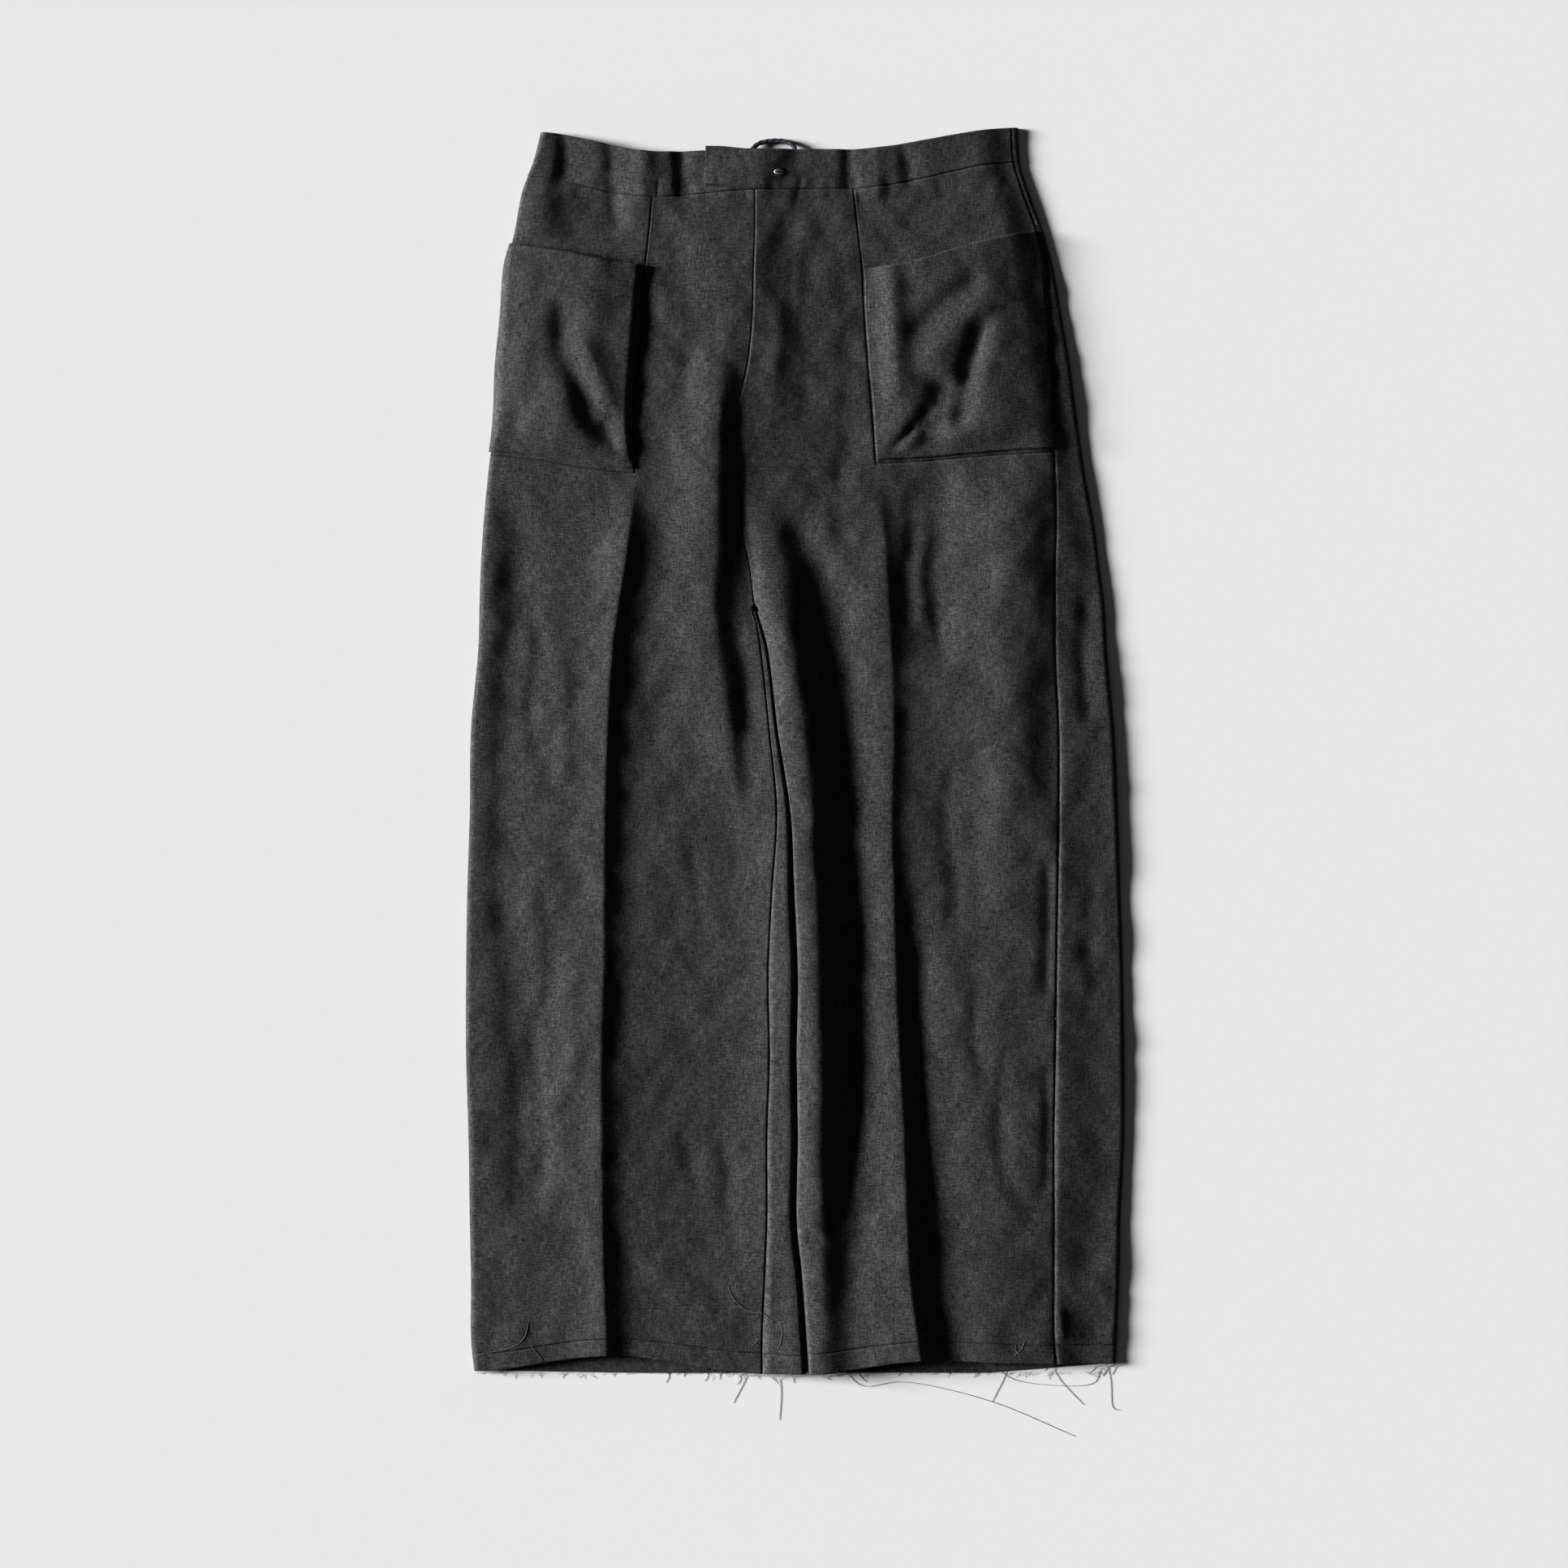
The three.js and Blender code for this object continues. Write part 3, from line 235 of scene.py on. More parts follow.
def rounded_path(path: Sequence[Sequence[float]], pieces: int = 5) -> Array:
    """A Catmull-Rom curve through the points of a path, cut into short straight pieces.

    Args:
        path: Points in the plane or in space.
        pieces: How many pieces lie between two of them.

    Returns:
        An array of points, one row each.
    """
    points = np.asarray(path, dtype=float)
    padded = np.vstack([2 * points[:1] - points[1:2], points, 2 * points[-1:] - points[-2:-1]])
    share = np.linspace(0.0, 1.0, pieces, endpoint=False)[:, None]
    runs = []
    for before, start, end, after in zip(padded, padded[1:], padded[2:], padded[3:]):
        runs.append(0.5 * (2 * start + (end - before) * share
                           + (2 * before - 5 * start + 4 * end - after) * share ** 2
                           + (3 * start - before - 3 * end + after) * share ** 3))
    return np.vstack(runs + [points[-1:]])


@dataclass(frozen=True)
class Fold:
    """A soft ridge (rise above zero) or trough (rise below zero) along a path.

    left and right are the widths of its two flanks, fade is the length over which its ends die away, and
    power sharpens its top: 2 is round and 1 comes to a point. swell holds evenly spaced factors of the rise
    along the path. Beyond WIDTHS times the wider flank the fold adds nothing.
    """

    rise: float
    left: float
    right: float
    fade: float
    path: Sequence[Point]
    power: float = 2.0
    swell: Sequence[float] = (1.0, 1.0)

    WIDTHS = 3.2

    def lift(self, x: Array, y: Array) -> Array:
        """What the fold adds to the height at each point: its rise, less with the distance from its path.

        Args:
            x: Places across, of any shape.
            y: Heights above the hem, of the same shape.

        Returns:
            The added height: rise times exp(-(distance / width) ** power), times the fading of the ends.
        """
        curve = rounded_path(self.path)
        reach = self.WIDTHS * max(self.left, self.right)
        low, high = curve.min(axis=0) - reach, curve.max(axis=0) + reach
        near = (x > low[0]) & (x < high[0]) & (y > low[1]) & (y < high[1])
        added = np.zeros(np.shape(x))
        if not near.any():
            return added
        point = np.stack([x[near], y[near]], axis=-1)
        best = np.full(len(point), np.inf)
        side = np.ones(len(point))
        along = np.zeros(len(point))
        length = 0.0
        for start, end in zip(curve[:-1], curve[1:]):
            step = end - start
            size = float(np.hypot(*step))
            share = np.clip((point - start) @ step / size ** 2, 0.0, 1.0)
            off = point - start - share[:, None] * step
            distance = np.hypot(off[:, 0], off[:, 1])
            closer = distance < best
            best = np.where(closer, distance, best)
            side = np.where(closer, np.sign(off[:, 0]), side)
            along = np.where(closer, length + size * share, along)
            length += size
        width = np.where(side < 0, self.left, self.right)
        ends = between(along, 0.0, length, self.fade)
        swell = np.interp(along / length, np.linspace(0, 1, len(self.swell)), self.swell)
        added[near] = self.rise * swell * ends * np.exp(-((best / width) ** self.power))
        return added


# The largest folds of the front. The part has a simpler set of them.
MAIN_FOLDS = (
    Fold(5, 95, 62, 160, [(-45, 1030), (-45, 900), (-50, 780), (-52, 640)]),
    Fold(7.0, 22, 9, 60, [(-153, -60)] + line_between("right_crease", 0, 740),
         1.4, (0.9, 0.85, 0.8, 0.85, 1.1, 1.0)),
    Fold(8.5, 30, 13, 150,
         [(-62, 880), (-60, 830), (-62, 774), (-64, 695), (-67, 616), (-59, 556), (-51, 503), (-47, 420)]),
    Fold(-3.5, 12, 18, 50,
         [(-224, 712), (-229, 616), (-234, 523), (-238, 424), (-230, 325), (-220, 226), (-224, 110)]),
    Fold(-3, 9, 7, 60, line_between("centre", 500, 850)),
    Fold(3.5, 26, 16, 80, [(-36, 560), (-20, 430), (-18, 250), (-20, 20)]),
    Fold(13.5, 27, 17, 120,
         [(-24, 735), (-17, 660), (-5, 589), (5, 523), (12, 457), (15, 391), (17, 325), (19, 193), (19, 127),
          (22, 0), (24, -120)], 2.0, (0.4, 0.75, 1.0, 1.05, 0.95, 0.5, 0.15)),
    Fold(5, 50, 45, 120, [(66, -160), (66, 0), (62, 110), (58, 200)]),
    Fold(-6, 11, 17, 110,
         [(-14, 735), (7, 669), (24, 632), (34, 579), (39, 504), (43, 407), (47, 329), (47, 251), (40, 193),
          (32, 100)]),
    Fold(6.5, 30, 6.5, 60, [(104, -60)] + line_between("left_crease", 0, 740),
         1.5, (1.4, 1.35, 1.0, 0.6, 0.5, 0.45)),
    Fold(2.4, 14, 40, 100, [(126, -60), (124, 120), (118, 260), (116, 420)]),
    Fold(3.2, 22, 44, 100, [(158, -60), (156, 120), (154, 260), (158, 380)]),
    Fold(-3.5, 9, 20, 90, [(96, 420), (98, 325), (104, 193), (110, 127), (118, 60), (122, 0), (124, -90)]),
    Fold(-4, 30, 15, 40, [(116, 752), (118, 690), (116, 640), (113, 560)]),
    Fold(-2.5, 34, 20, 90, [(140, 560), (144, 430), (146, 250), (150, 60)]),
    Fold(-2.5, 14, 12, 60, [(205, 748), (210, 695), (212, 616), (207, 523), (205, 440)]),
    Fold(6, 24, 32, 70, [(176, 760), (175, 616), (172, 470), (178, 330)], 2.0, (1.0, 1.0, 0.8, 0.5, 0.3)),
    Fold(-4, 12, 22, 40, [(-176, 1030), (-184, 960), (-192, 905)]),
    Fold(2, 22, 10, 25, [(-104, 1030), (-104, 935)]),
    Fold(2, 30, 30, 12, [(-18, 1014), (-18, 950)]),
)

# Folds of the two pockets, added to how far they stand off. The part has a simpler set.
POCKET_FOLDS = (
    Fold(-4.0, 9, 17, 24,
         [(-192, 880), (-188, 850), (-186, 828), (-174, 803), (-168, 783), (-157, 765), (-142, 742)],
         2.0, (0.8, 1.0, 0.8, 0.8, 1.2, 0.9, 0.5)),
    Fold(2, 24, 14, 25, [(-196, 810), (-188, 756)]),
    Fold(-6.2, 13, 13, 16, [(125, 814), (118, 790), (113, 768), (110, 744)]),
    Fold(-5.0, 9, 9, 20, [(157, 868), (147, 838), (139, 800), (131, 760)]),
    Fold(-2.2, 8, 10, 20, [(158, 894), (130, 876), (100, 850), (88, 830)]),
    Fold(-2.0, 3, 4, 8, [(74, 748), (84, 757), (93, 766), (99, 774)]),
    Fold(3.5, 9, 11, 35, [(74, 915), (78, 870), (80, 820), (82, 780)]),
    Fold(1.6, 8, 12, 30, [(176, 884), (148, 862), (120, 836), (102, 806)]),
    Fold(-2.5, 5, 8, 10, [(-160, 776), (-150, 760), (-138, 738)]),
    Fold(-1.6, 7, 8, 20, [(-232, 790), (-222, 765), (-212, 748)]),
    Fold(2.0, 8, 8, 20, [(-178, 850), (-160, 812), (-146, 780)]),
    Fold(-2.5, 6, 10, 12, [(72, 742), (84, 756), (100, 772), (112, 790)]),
    Fold(2.0, 7, 6, 12, [(80, 740), (92, 752), (106, 768)]),
)

# Smaller creases that only the eye needs
FINE_FOLDS = (
    Fold(4.5, 11, 54, 26, [(-214, 975), (-212, 940), (-216, 905)]),
    Fold(-3.0, 34, 14, 26, [(-152, 975), (-154, 940), (-158, 905)]),
    Fold(1.6, 3, 3, 6, [(215, 57), (216, 44), (217, 27)]),
    Fold(1.8, 8, 20, 60, [(-246, 760), (-247, 700), (-246, 640), (-250, 560), (-252, 500)]),
    Fold(-2.0, 5, 7, 12, [(-190, 1016), (-188, 990), (-192, 962)]),
    Fold(-2.4, 6, 8, 12, [(-152, 1012), (-149, 985), (-148, 955), (-139, 925)]),
    Fold(1.6, 8, 12, 10, [(-126, 1012), (-124, 985), (-128, 958)]),
    Fold(-2.0, 5, 7, 12, [(-94, 1004), (-93, 978), (-90, 950)]),
    Fold(-2.2, 5, 7, 12, [(44, 1004), (43, 980), (46, 955)]),
    Fold(-2.2, 6, 8, 12, [(86, 1004), (92, 980), (94, 958)]),
    Fold(1.2, 7, 5, 12, [(66, 1000), (68, 975), (66, 950)]),
    Fold(1.2, 8, 6, 12, [(-121, 1000), (-121, 970), (-123, 945)]),
    Fold(-1.0, 7, 10, 25, [(-100, 930), (-88, 890), (-84, 850), (-88, 800), (-80, 740)]),
    Fold(0.8, 9, 7, 25, [(-112, 900), (-104, 850), (-106, 800)]),
    Fold(-0.6, 6, 9, 25, [(8, 930), (12, 890), (6, 850), (10, 800), (4, 760)]),
    Fold(0.6, 10, 8, 25, [(28, 920), (30, 870), (34, 820), (30, 770)]),
    Fold(-1.0, 7, 9, 25, [(46, 800), (40, 750), (36, 700), (46, 650)]),
    Fold(1.2, 8, 8, 20, [(-12, 880), (-14, 830), (-20, 780)]),
    Fold(-1.3, 6, 8, 20, [(-214, 640), (-208, 590), (-214, 540), (-205, 490)]),
    Fold(1.1, 8, 7, 20, [(-192, 600), (-186, 540), (-190, 470)]),
    Fold(-1.2, 6, 9, 20, [(-206, 400), (-198, 340), (-204, 280)]),
    Fold(-1.3, 7, 8, 20, [(-216, 300), (-208, 240), (-202, 180), (-212, 130)]),
    Fold(1.0, 8, 8, 20, [(-184, 330), (-180, 270), (-186, 210)]),
    Fold(-1.4, 6, 8, 20, [(-50, 600), (-40, 560), (-44, 510), (-34, 460)]),
    Fold(-1.1, 6, 8, 20, [(-86, 440), (-78, 390), (-70, 350)]),
    Fold(-1.2, 7, 9, 20, [(-92, 210), (-84, 170), (-74, 140)]),
    Fold(-1.1, 6, 8, 20, [(-60, 200), (-54, 160), (-58, 120)]),
    Fold(-1.4, 6, 8, 15, [(92, 720), (96, 680), (88, 640), (94, 600)]),
    Fold(-1.4, 6, 8, 15, [(118, 700), (110, 650), (116, 610), (124, 570)]),
    Fold(1.2, 6, 8, 15, [(104, 690), (102, 640), (108, 600)]),
    Fold(-1.2, 7, 9, 20, [(130, 500), (124, 450), (130, 400), (126, 350)]),
    Fold(-1.1, 6, 9, 20, [(150, 330), (146, 280), (152, 230)]),
    Fold(-1.2, 6, 9, 20, [(172, 260), (166, 200), (172, 150)]),
    Fold(-1.6, 5, 6, 15, [(30, 480), (22, 440), (24, 400)]),
    Fold(-1.6, 4, 6, 8, [(6, 118), (14, 112), (24, 116)]),
    Fold(-2.0, 6, 5, 20, [(206, 430), (206, 370), (204, 300)]),
    Fold(-1.4, 5, 6, 20, [(204, 260), (206, 200), (204, 140)]),
    Fold(-1.2, 6, 7, 20, [(238, 640), (234, 580), (240, 520)]),
    Fold(-1.0, 6, 7, 20, [(244, 420), (238, 360), (244, 300)]),
)


@dataclass(frozen=True)
class Gathers:
    """Short troughs across the waist seam between two places, where the band's stitching gathers the cloth.

    seam is the seam's height. Each pair is the least and the most of what it names. skew is how many times as
    wide the right flank is, and fade the length over which the ends die away.
    """

    low: float
    high: float
    seed: int
    seam: float = 963.0
    spacing: Point = (6, 15)
    lean: Point = (-4, 4)
    length: Point = (8, 15)
    width: Point = (2, 3.5)
    depth: Point = (0.25, 0.7)
    skew: float = 1.5
    fade: float = 7.0

    def folds(self) -> tuple[Fold, ...]:
        """One fold for each gather."""
        random = np.random.default_rng(self.seed)
        folds = []
        x = self.low
        while x < self.high:
            x += random.uniform(*self.spacing)
            lean = random.uniform(*self.lean)
            length = random.uniform(*self.length)
            width = random.uniform(*self.width)
            below, above = self.seam - 1, self.seam + 1
            path = [(x + lean, below - length), (x, above), (x - lean, above + length)]
            folds.append(Fold(-random.uniform(*self.depth), width, width * self.skew, self.fade, path))
        return tuple(folds)


GATHERS = Gathers(-212, 170, 31).folds()


@dataclass(frozen=True)
class Ripples:
    """Uneven small waves: a random height at each point of a coarse grid, and a smooth surface through them.

    across and along are the grid's steps, depth is the height of the waves and turn is the grid's turn in
    degrees about the point at x 0 and y PIVOT.
    """

    across: float
    along: float
    depth: float
    seed: int
    turn: float = 0.0

    SPAN = 1700.0
    PIVOT = 500.0
    SPARE = 6

    def lift(self, x: Array, y: Array) -> Array:
        """Height of the waves at each point, by cubic weights over the four nearest grid points each way."""
        random = np.random.default_rng(self.seed)
        shape = (int(self.SPAN / self.along) + self.SPARE, int(self.SPAN / self.across) + self.SPARE)
        grid = random.normal(0.0, 1.0, shape)
        cosine, sine = math.cos(math.radians(self.turn)), math.sin(math.radians(self.turn))
        up = y - self.PIVOT
        place_x = (x * cosine + up * sine + self.SPAN / 2) / self.across
        place_y = (up * cosine - x * sine + self.SPAN / 2) / self.along
        column, row = np.floor(place_x).astype(int), np.floor(place_y).astype(int)
        share_x, share_y = place_x - column, place_y - row
        total = np.zeros(np.shape(x))
        for above, weight_y in enumerate(self.weights(share_y)):
            for beside, weight_x in enumerate(self.weights(share_x)):
                near = grid[np.clip(row + above, 0, shape[0] - 1),
                            np.clip(column + beside, 0, shape[1] - 1)]
                total += weight_y * weight_x * near
        return total * self.depth

    @staticmethod
    def weights(share: Array) -> tuple[Array, Array, Array, Array]:
        """The four weights of a uniform cubic spline at a share of its step."""
        return ((1 - share) ** 3 / 6, (3 * share ** 3 - 6 * share ** 2 + 4) / 6,
                (-3 * share ** 3 + 3 * share ** 2 + 3 * share + 1) / 6, share ** 3 / 6)


RIPPLES = (
    Ripples(34, 90, 0.7, 13),
    Ripples(15, 40, 0.45, 11, 12),
    Ripples(9, 26, 0.5, 12, 38),
    Ripples(9, 26, 0.5, 15, -34),
    Ripples(6, 13, 0.28, 16, 64),
    Ripples(4.5, 7, 0.12, 14),
)


@dataclass(frozen=True)
class Groove:
    """A narrow groove beside a line, where a seam or a row of stitching draws the cloth in."""

    line: str
    offset: float
    depth: float
    width: float
    low: float
    high: float

    FADE = 3.0

    def lift(self, x: Array, y: Array) -> Array:
        """What the groove adds to the height, which is below zero: a narrow bell across the line."""
        away = (x - line_at(self.line, y) - self.offset) / self.width
        return -self.depth * between(y, self.low, self.high, self.FADE) * np.exp(-away ** 2)


@dataclass(frozen=True)
class Ledge:
    """A seam whose left side lies a little higher than its right side, and settles to the left."""

    line: str
    height: float
    width: float
    low: float
    high: float

    FADE = 6.0

    def lift(self, x: Array, y: Array) -> Array:
        """What the ledge adds to the height: a step at the line that dies away to its left."""
        away = line_at(self.line, y) - x
        step = self.height * between(y, self.low, self.high, self.FADE)
        return np.where(away > 0, step * np.exp(-np.maximum(away, 0) / self.width), 0.0)


STITCH_INSET = 3.4
LEDGES = (
    Ledge("right_crease", 0.3, 6, 735, 975),
    Ledge("left_crease", 0.4, 6, 738, 975),
)
GROOVES = (
    Groove("right_crease", 0, 0.35, 0.7, 735, 958),
    Groove("right_crease", -STITCH_INSET, 0.25, 0.8, 735, 958),
    Groove("left_crease", 0, 0.4, 0.7, 738, 965),
    Groove("left_crease", -STITCH_INSET, 0.3, 0.8, 738, 965),
    Groove("left_side", 0, 0.45, 0.9, 0, 940),
    Groove("centre", FLY_WIDTH, 0.25, 0.9, 850, 958),
)


# How softly the large shapes are kept above the least height, and the finer ones above one a little lower
SOFT_LEAST = 2.0
FINE_LEAST = LEAST_HEIGHT - 1.0
FINE_SOFT_LEAST = 1.0


def front_height(x: Array, y: Array) -> Array:
    """Height of the front layer's middle: its loft, its folds and the fly's step, kept off the back layer.

    Args:
        x: Places across.
        y: Heights above the hem.

    Returns:
        The height of the middle of the cloth.
    """
    height = LOFT - RIGHT_FALL * (1 - smooth((x - line_at("right_edge", y)) / RIGHT_FALL_WIDTH))
    left_width = lerp(LEFT_FALL_WIDTH, LEFT_HIP_FALL_WIDTH, smooth((y - HIP_FOOT) / HIP_RISE))
    height = height - LEFT_FALL * (1 - smooth((line_at("left_edge", y) - x) / left_width))
    for fold in MAIN_FOLDS:
        height = height + fold.lift(x, y)
    centre = line_at("centre", y)
    on_left = (x > centre - HAIR / 2) & (y > FLY_FOOT)
    step = FLY_STEP * (1 - smooth((x - centre) / FLY_WIDTH)) * smooth((y - FLY_FOOT) / FLY_RISE)
    height = kept_above(height + np.where(on_left, step, 0.0), LEAST_HEIGHT, SOFT_LEAST)
    for part in FINE_FOLDS + GATHERS + RIPPLES + GROOVES + LEDGES:
        height = height + part.lift(x, y)
    return kept_above(height, FINE_LEAST, FINE_SOFT_LEAST)


def right_outer(y: Array) -> Array:
    """Outermost line of the right half."""
    return line_at("right_edge", y) + CLOTH / 2


def left_outer(y: Array) -> Array:
    """Outermost line of the left half."""
    return line_at("left_edge", y) - CLOTH / 2


def left_inner(y: Array) -> Array:
    """Inner edge of the left leg, and above the crotch the centre seam."""
    return line_at("centre", y) + np.where(y > CROTCH, 0.0, CLOTH / 2)


def right_inner(y: Array) -> Array:
    """Inner edge of the right leg, and above the crotch the centre seam."""
    gap = lerp(LEG_GAP_TOP, LEG_GAP, smooth((GAP_TOP - y) / GAP_FALL))
    return line_at("centre", y) - np.where(y > CROTCH, 0.0, gap + CLOTH / 2)


def inner_radius(y: Array) -> Array:
    """Reach of the inner folds, which are sharp at the crotch and rounder below."""
    return np.where(y > CROTCH, 0.0, lerp(CROTCH_RADIUS, INNER_RADIUS, smooth((ROUND_TOP - y) / ROUND_FALL)))


def outer_radius(y: Array) -> Array:
    """Reach of the outer folds, which lie flatter at the waist."""
    return lerp(OUTER_RADIUS, WAIST_RADIUS, smooth((y - WAIST_FOOT) / WAIST_RISE))


def right_inseam(y: Array) -> Array:
    """Where the right front ends: at its inseam on the leg, and at the centre above."""
    on_leg = np.minimum(line_at("inseam", y), right_inner(y) - inner_radius(y) - INSEAM_MARGIN)
    return np.where(y > CROTCH, line_at("centre", y) - HAIR, on_leg)


def right_crease(y: Array) -> Array:
    """The right crease, and above the pocket bottom the right front's seam."""
    return line_at("right_crease", y)


def right_foot(y: Array) -> Array:
    """Foot of the right crease's steep side."""
    share = np.maximum(smooth((YOKE_FOOT - y) / YOKE_FALL), LEAST_FOOT)
    return line_at("right_crease", y) + CREASE_FOOT * share


def right_tangent(y: Array) -> Array:
    """Where the right outer fold starts and where it reaches the ground."""
    return right_outer(y) + outer_radius(y)


def right_side(y: Array) -> Array:
    """The right side seam, on the ground."""
    return right_tangent(y) + SIDE_UNDER


def right_floor_end(y: Array) -> Array:
    """Inner end of the right back on the ground."""
    return right_inner(y) - inner_radius(y)


def left_tangent(y: Array) -> Array:
    """Where the left outer fold starts and where it reaches the ground."""
    return left_outer(y) - outer_radius(y)


def left_crease(y: Array) -> Array:
    """The left crease, and above the pocket bottom the left front's seam."""
    return line_at("left_crease", y)


def left_top(y: Array) -> Array:
    """Where the left leg's inner fold joins the upper layer."""
    return left_inner(y) + inner_radius(y)


def left_side(y: Array) -> Array:
    """The left side seam, which shows on the top."""
    return np.minimum(line_at("left_side", y), left_tangent(y) - SIDE_MARGIN)


def left_back_end(y: Array) -> Array:
    """Inner end of the left back on the ground."""
    under = lerp(CROTCH_UNDER, INSEAM_UNDER, smooth((CROTCH - y) / INSEAM_FALL))
    return left_inner(y) + np.where(y > CROTCH, 0.0, under)


class Lie(Enum):
    """How a run of columns lies."""

    TOP = "on the upper layer"
    FLOOR = "on the ground"
    TURN = "round a folded edge"


@dataclass(frozen=True)
class Run:
    """Neighbouring columns between two lines. shares are their places, and for a folded edge their turns.

    keys name the entries of the row table that give the height at the start and at the end. Round a folded
    edge a row passes from the first height to the second between the turns TURN_LOW and TURN_LOW + TURN_SPAN,
    and on the ground FLOOR_SPEED times as fast as it goes across.
    """

    lie: Lie
    shares: Sequence[float]
    start: Line
    end: Line
    keys: tuple[str, str]
    inward: float = 1.0

    TURN_LOW = -0.4
    TURN_SPAN = 0.5
    FLOOR_SPEED = 2.0

    def place(self, share: Array, heights: dict[str, Array], floor: Array) -> Array:
        """Points of the run, at every row and every share.

        Args:
            share: Places across the run, or turns from -1 on the ground over 0 to 1 on the upper layer.
            heights: Height of each row at each key.
            floor: Height of the cloth's middle on the ground, for each row.

        Returns:
            An array of rows by shares by three.
        """
        start_height, end_height = heights[self.keys[0]][:, None], heights[self.keys[1]][:, None]
        floor = floor[:, None] + 0 * share
        if self.lie is Lie.TURN:
            y = lerp(start_height, end_height, smooth((share - self.TURN_LOW) / self.TURN_SPAN))
            angle = share * math.pi / 2
            edge, radius = self.start(y), self.end(y)
            x = edge + self.inward * radius * (1 - np.cos(angle))
            top = front_height(edge + self.inward * radius, y)
            middle = lerp(floor, top, EDGE_MIDDLE)
            z = np.where(share > 0, lerp(middle, top, np.sin(angle)), lerp(middle, floor, -np.sin(angle)))
        elif self.lie is Lie.FLOOR:
            y = lerp(start_height, end_height, np.minimum(share * self.FLOOR_SPEED, 1.0))
            x = lerp(self.start(y), self.end(y), share)
            z = floor
        else:
            y = lerp(start_height, end_height, settled(share))
            x = lerp(self.start(y), self.end(y), share)
            z = front_height(x, y)
        return np.stack([x, y, z], axis=-1)


OUTER_TURNS = (1, 0.6, 0.2, -0.3, -1)
RIGHT_RUNS = (
    Run(Lie.TOP, (0, 0.1, 0.21, 0.33, 0.46, 0.6, 0.74, 0.88, 1), right_inseam, right_foot,
        ("centre", "crease")),
    Run(Lie.TOP, (0, 1), right_foot, right_crease, ("crease", "crease")),
    Run(Lie.TOP, (0, 0.13, 0.29, 0.47, 0.65, 0.83, 1), right_crease, right_tangent, ("crease", "edge")),
    Run(Lie.TURN, OUTER_TURNS, right_outer, outer_radius, ("edge", "edge")),
    Run(Lie.FLOOR, (0, 1), right_tangent, right_side, ("edge", "edge")),
    Run(Lie.FLOOR, (0, 0.3, 0.65, 1), right_side, right_floor_end, ("edge", "back")),
    Run(Lie.TURN, (-1, -0.5, 0, 0.5, 1), right_inner, inner_radius, ("back", "back"), -1.0),
    Run(Lie.TOP, (0, 1), right_floor_end, right_inseam, ("back", "centre")),
)
LEFT_RUNS = (
    Run(Lie.FLOOR, (0, 0.5, 1), left_back_end, left_top, ("back", "back")),
    Run(Lie.TURN, (-1, -0.4, 0.1, 0.5, 1), left_inner, inner_radius, ("back", "centre")),
    Run(Lie.TOP, (0, 0.09, 0.19, 0.3, 0.42, 0.56, 0.7, 0.84, 1), left_top, left_crease,
        ("centre", "crease")),
    Run(Lie.TOP, (0, 0.07, 0.16, 0.3, 0.48, 0.66, 0.84, 1), left_crease, left_side, ("crease", "edge")),
    Run(Lie.TOP, (0, 0.5, 1), left_side, left_tangent, ("edge", "edge")),
    Run(Lie.TURN, OUTER_TURNS, left_outer, outer_radius, ("edge", "edge"), -1.0),
    Run(Lie.FLOOR, (0, 0.25, 0.5, 0.75, 1), left_tangent, left_back_end, ("edge", "back")),
)

# Heights of the rows of each half at the centre, the crease or front seam, the outer edge and on the back
ROW_KEYS = ("centre", "crease", "edge", "back")
LEG_HEIGHTS = (
    110, 160, 215, 270, 325, 380, 435, 490, 540, 585, CROTCH - CROTCH_STEP, CROTCH + CROTCH_STEP, 655, 692,
)
RIGHT_ROWS = np.array(
    [[1, 16, 3, 1], [18, 30, 17, 16], [60, 66, 60, 60]]
    + [[height] * 4 for height in LEG_HEIGHTS]
    + [[736, 732, 746, 740], [775, 775, 785, 780], [820, 820, 832, 825], [862, 862, 876, 867],
       [900, 901, 918, 905], [932, 930, 947, 936], [962, 956, 973, 963], [962, 956, 973, 963],
       [979, 974, 991, 979], [995, 993, 1009, 993]], dtype=float)
LEFT_ROWS = np.array(
    [[1, 12, 9, 1], [18, 28, 24, 18], [60, 66, 62, 60]]
    + [[height] * 4 for height in LEG_HEIGHTS]
    + [[738, 740, 749, 742], [776, 778, 790, 780], [820, 822, 838, 825], [860, 862, 885, 870],
       [897, 898, 929, 910], [930, 931, 956, 940], [962, 963, 985, 963], [962, 963, 985, 963],
       [979, 979, 999, 979], [995, 995, 1013, 993]], dtype=float)

# Numbers of the rows and of the columns that pieces begin or end at
RAW_HEM, HEM_SEAM, LEGS_PART, POCKET_BOTTOM = 0, 1, 13, 17
WAIST_SEAM, BAND_SEAM, BAND_TOP = 23, 24, 26
RIGHT_CREASE, RIGHT_SIDE, RIGHT_FLOOR_END = 9, 20, 23
LEFT_TOP, LEFT_CREASE, LEFT_SIDE = 6, 14, 21


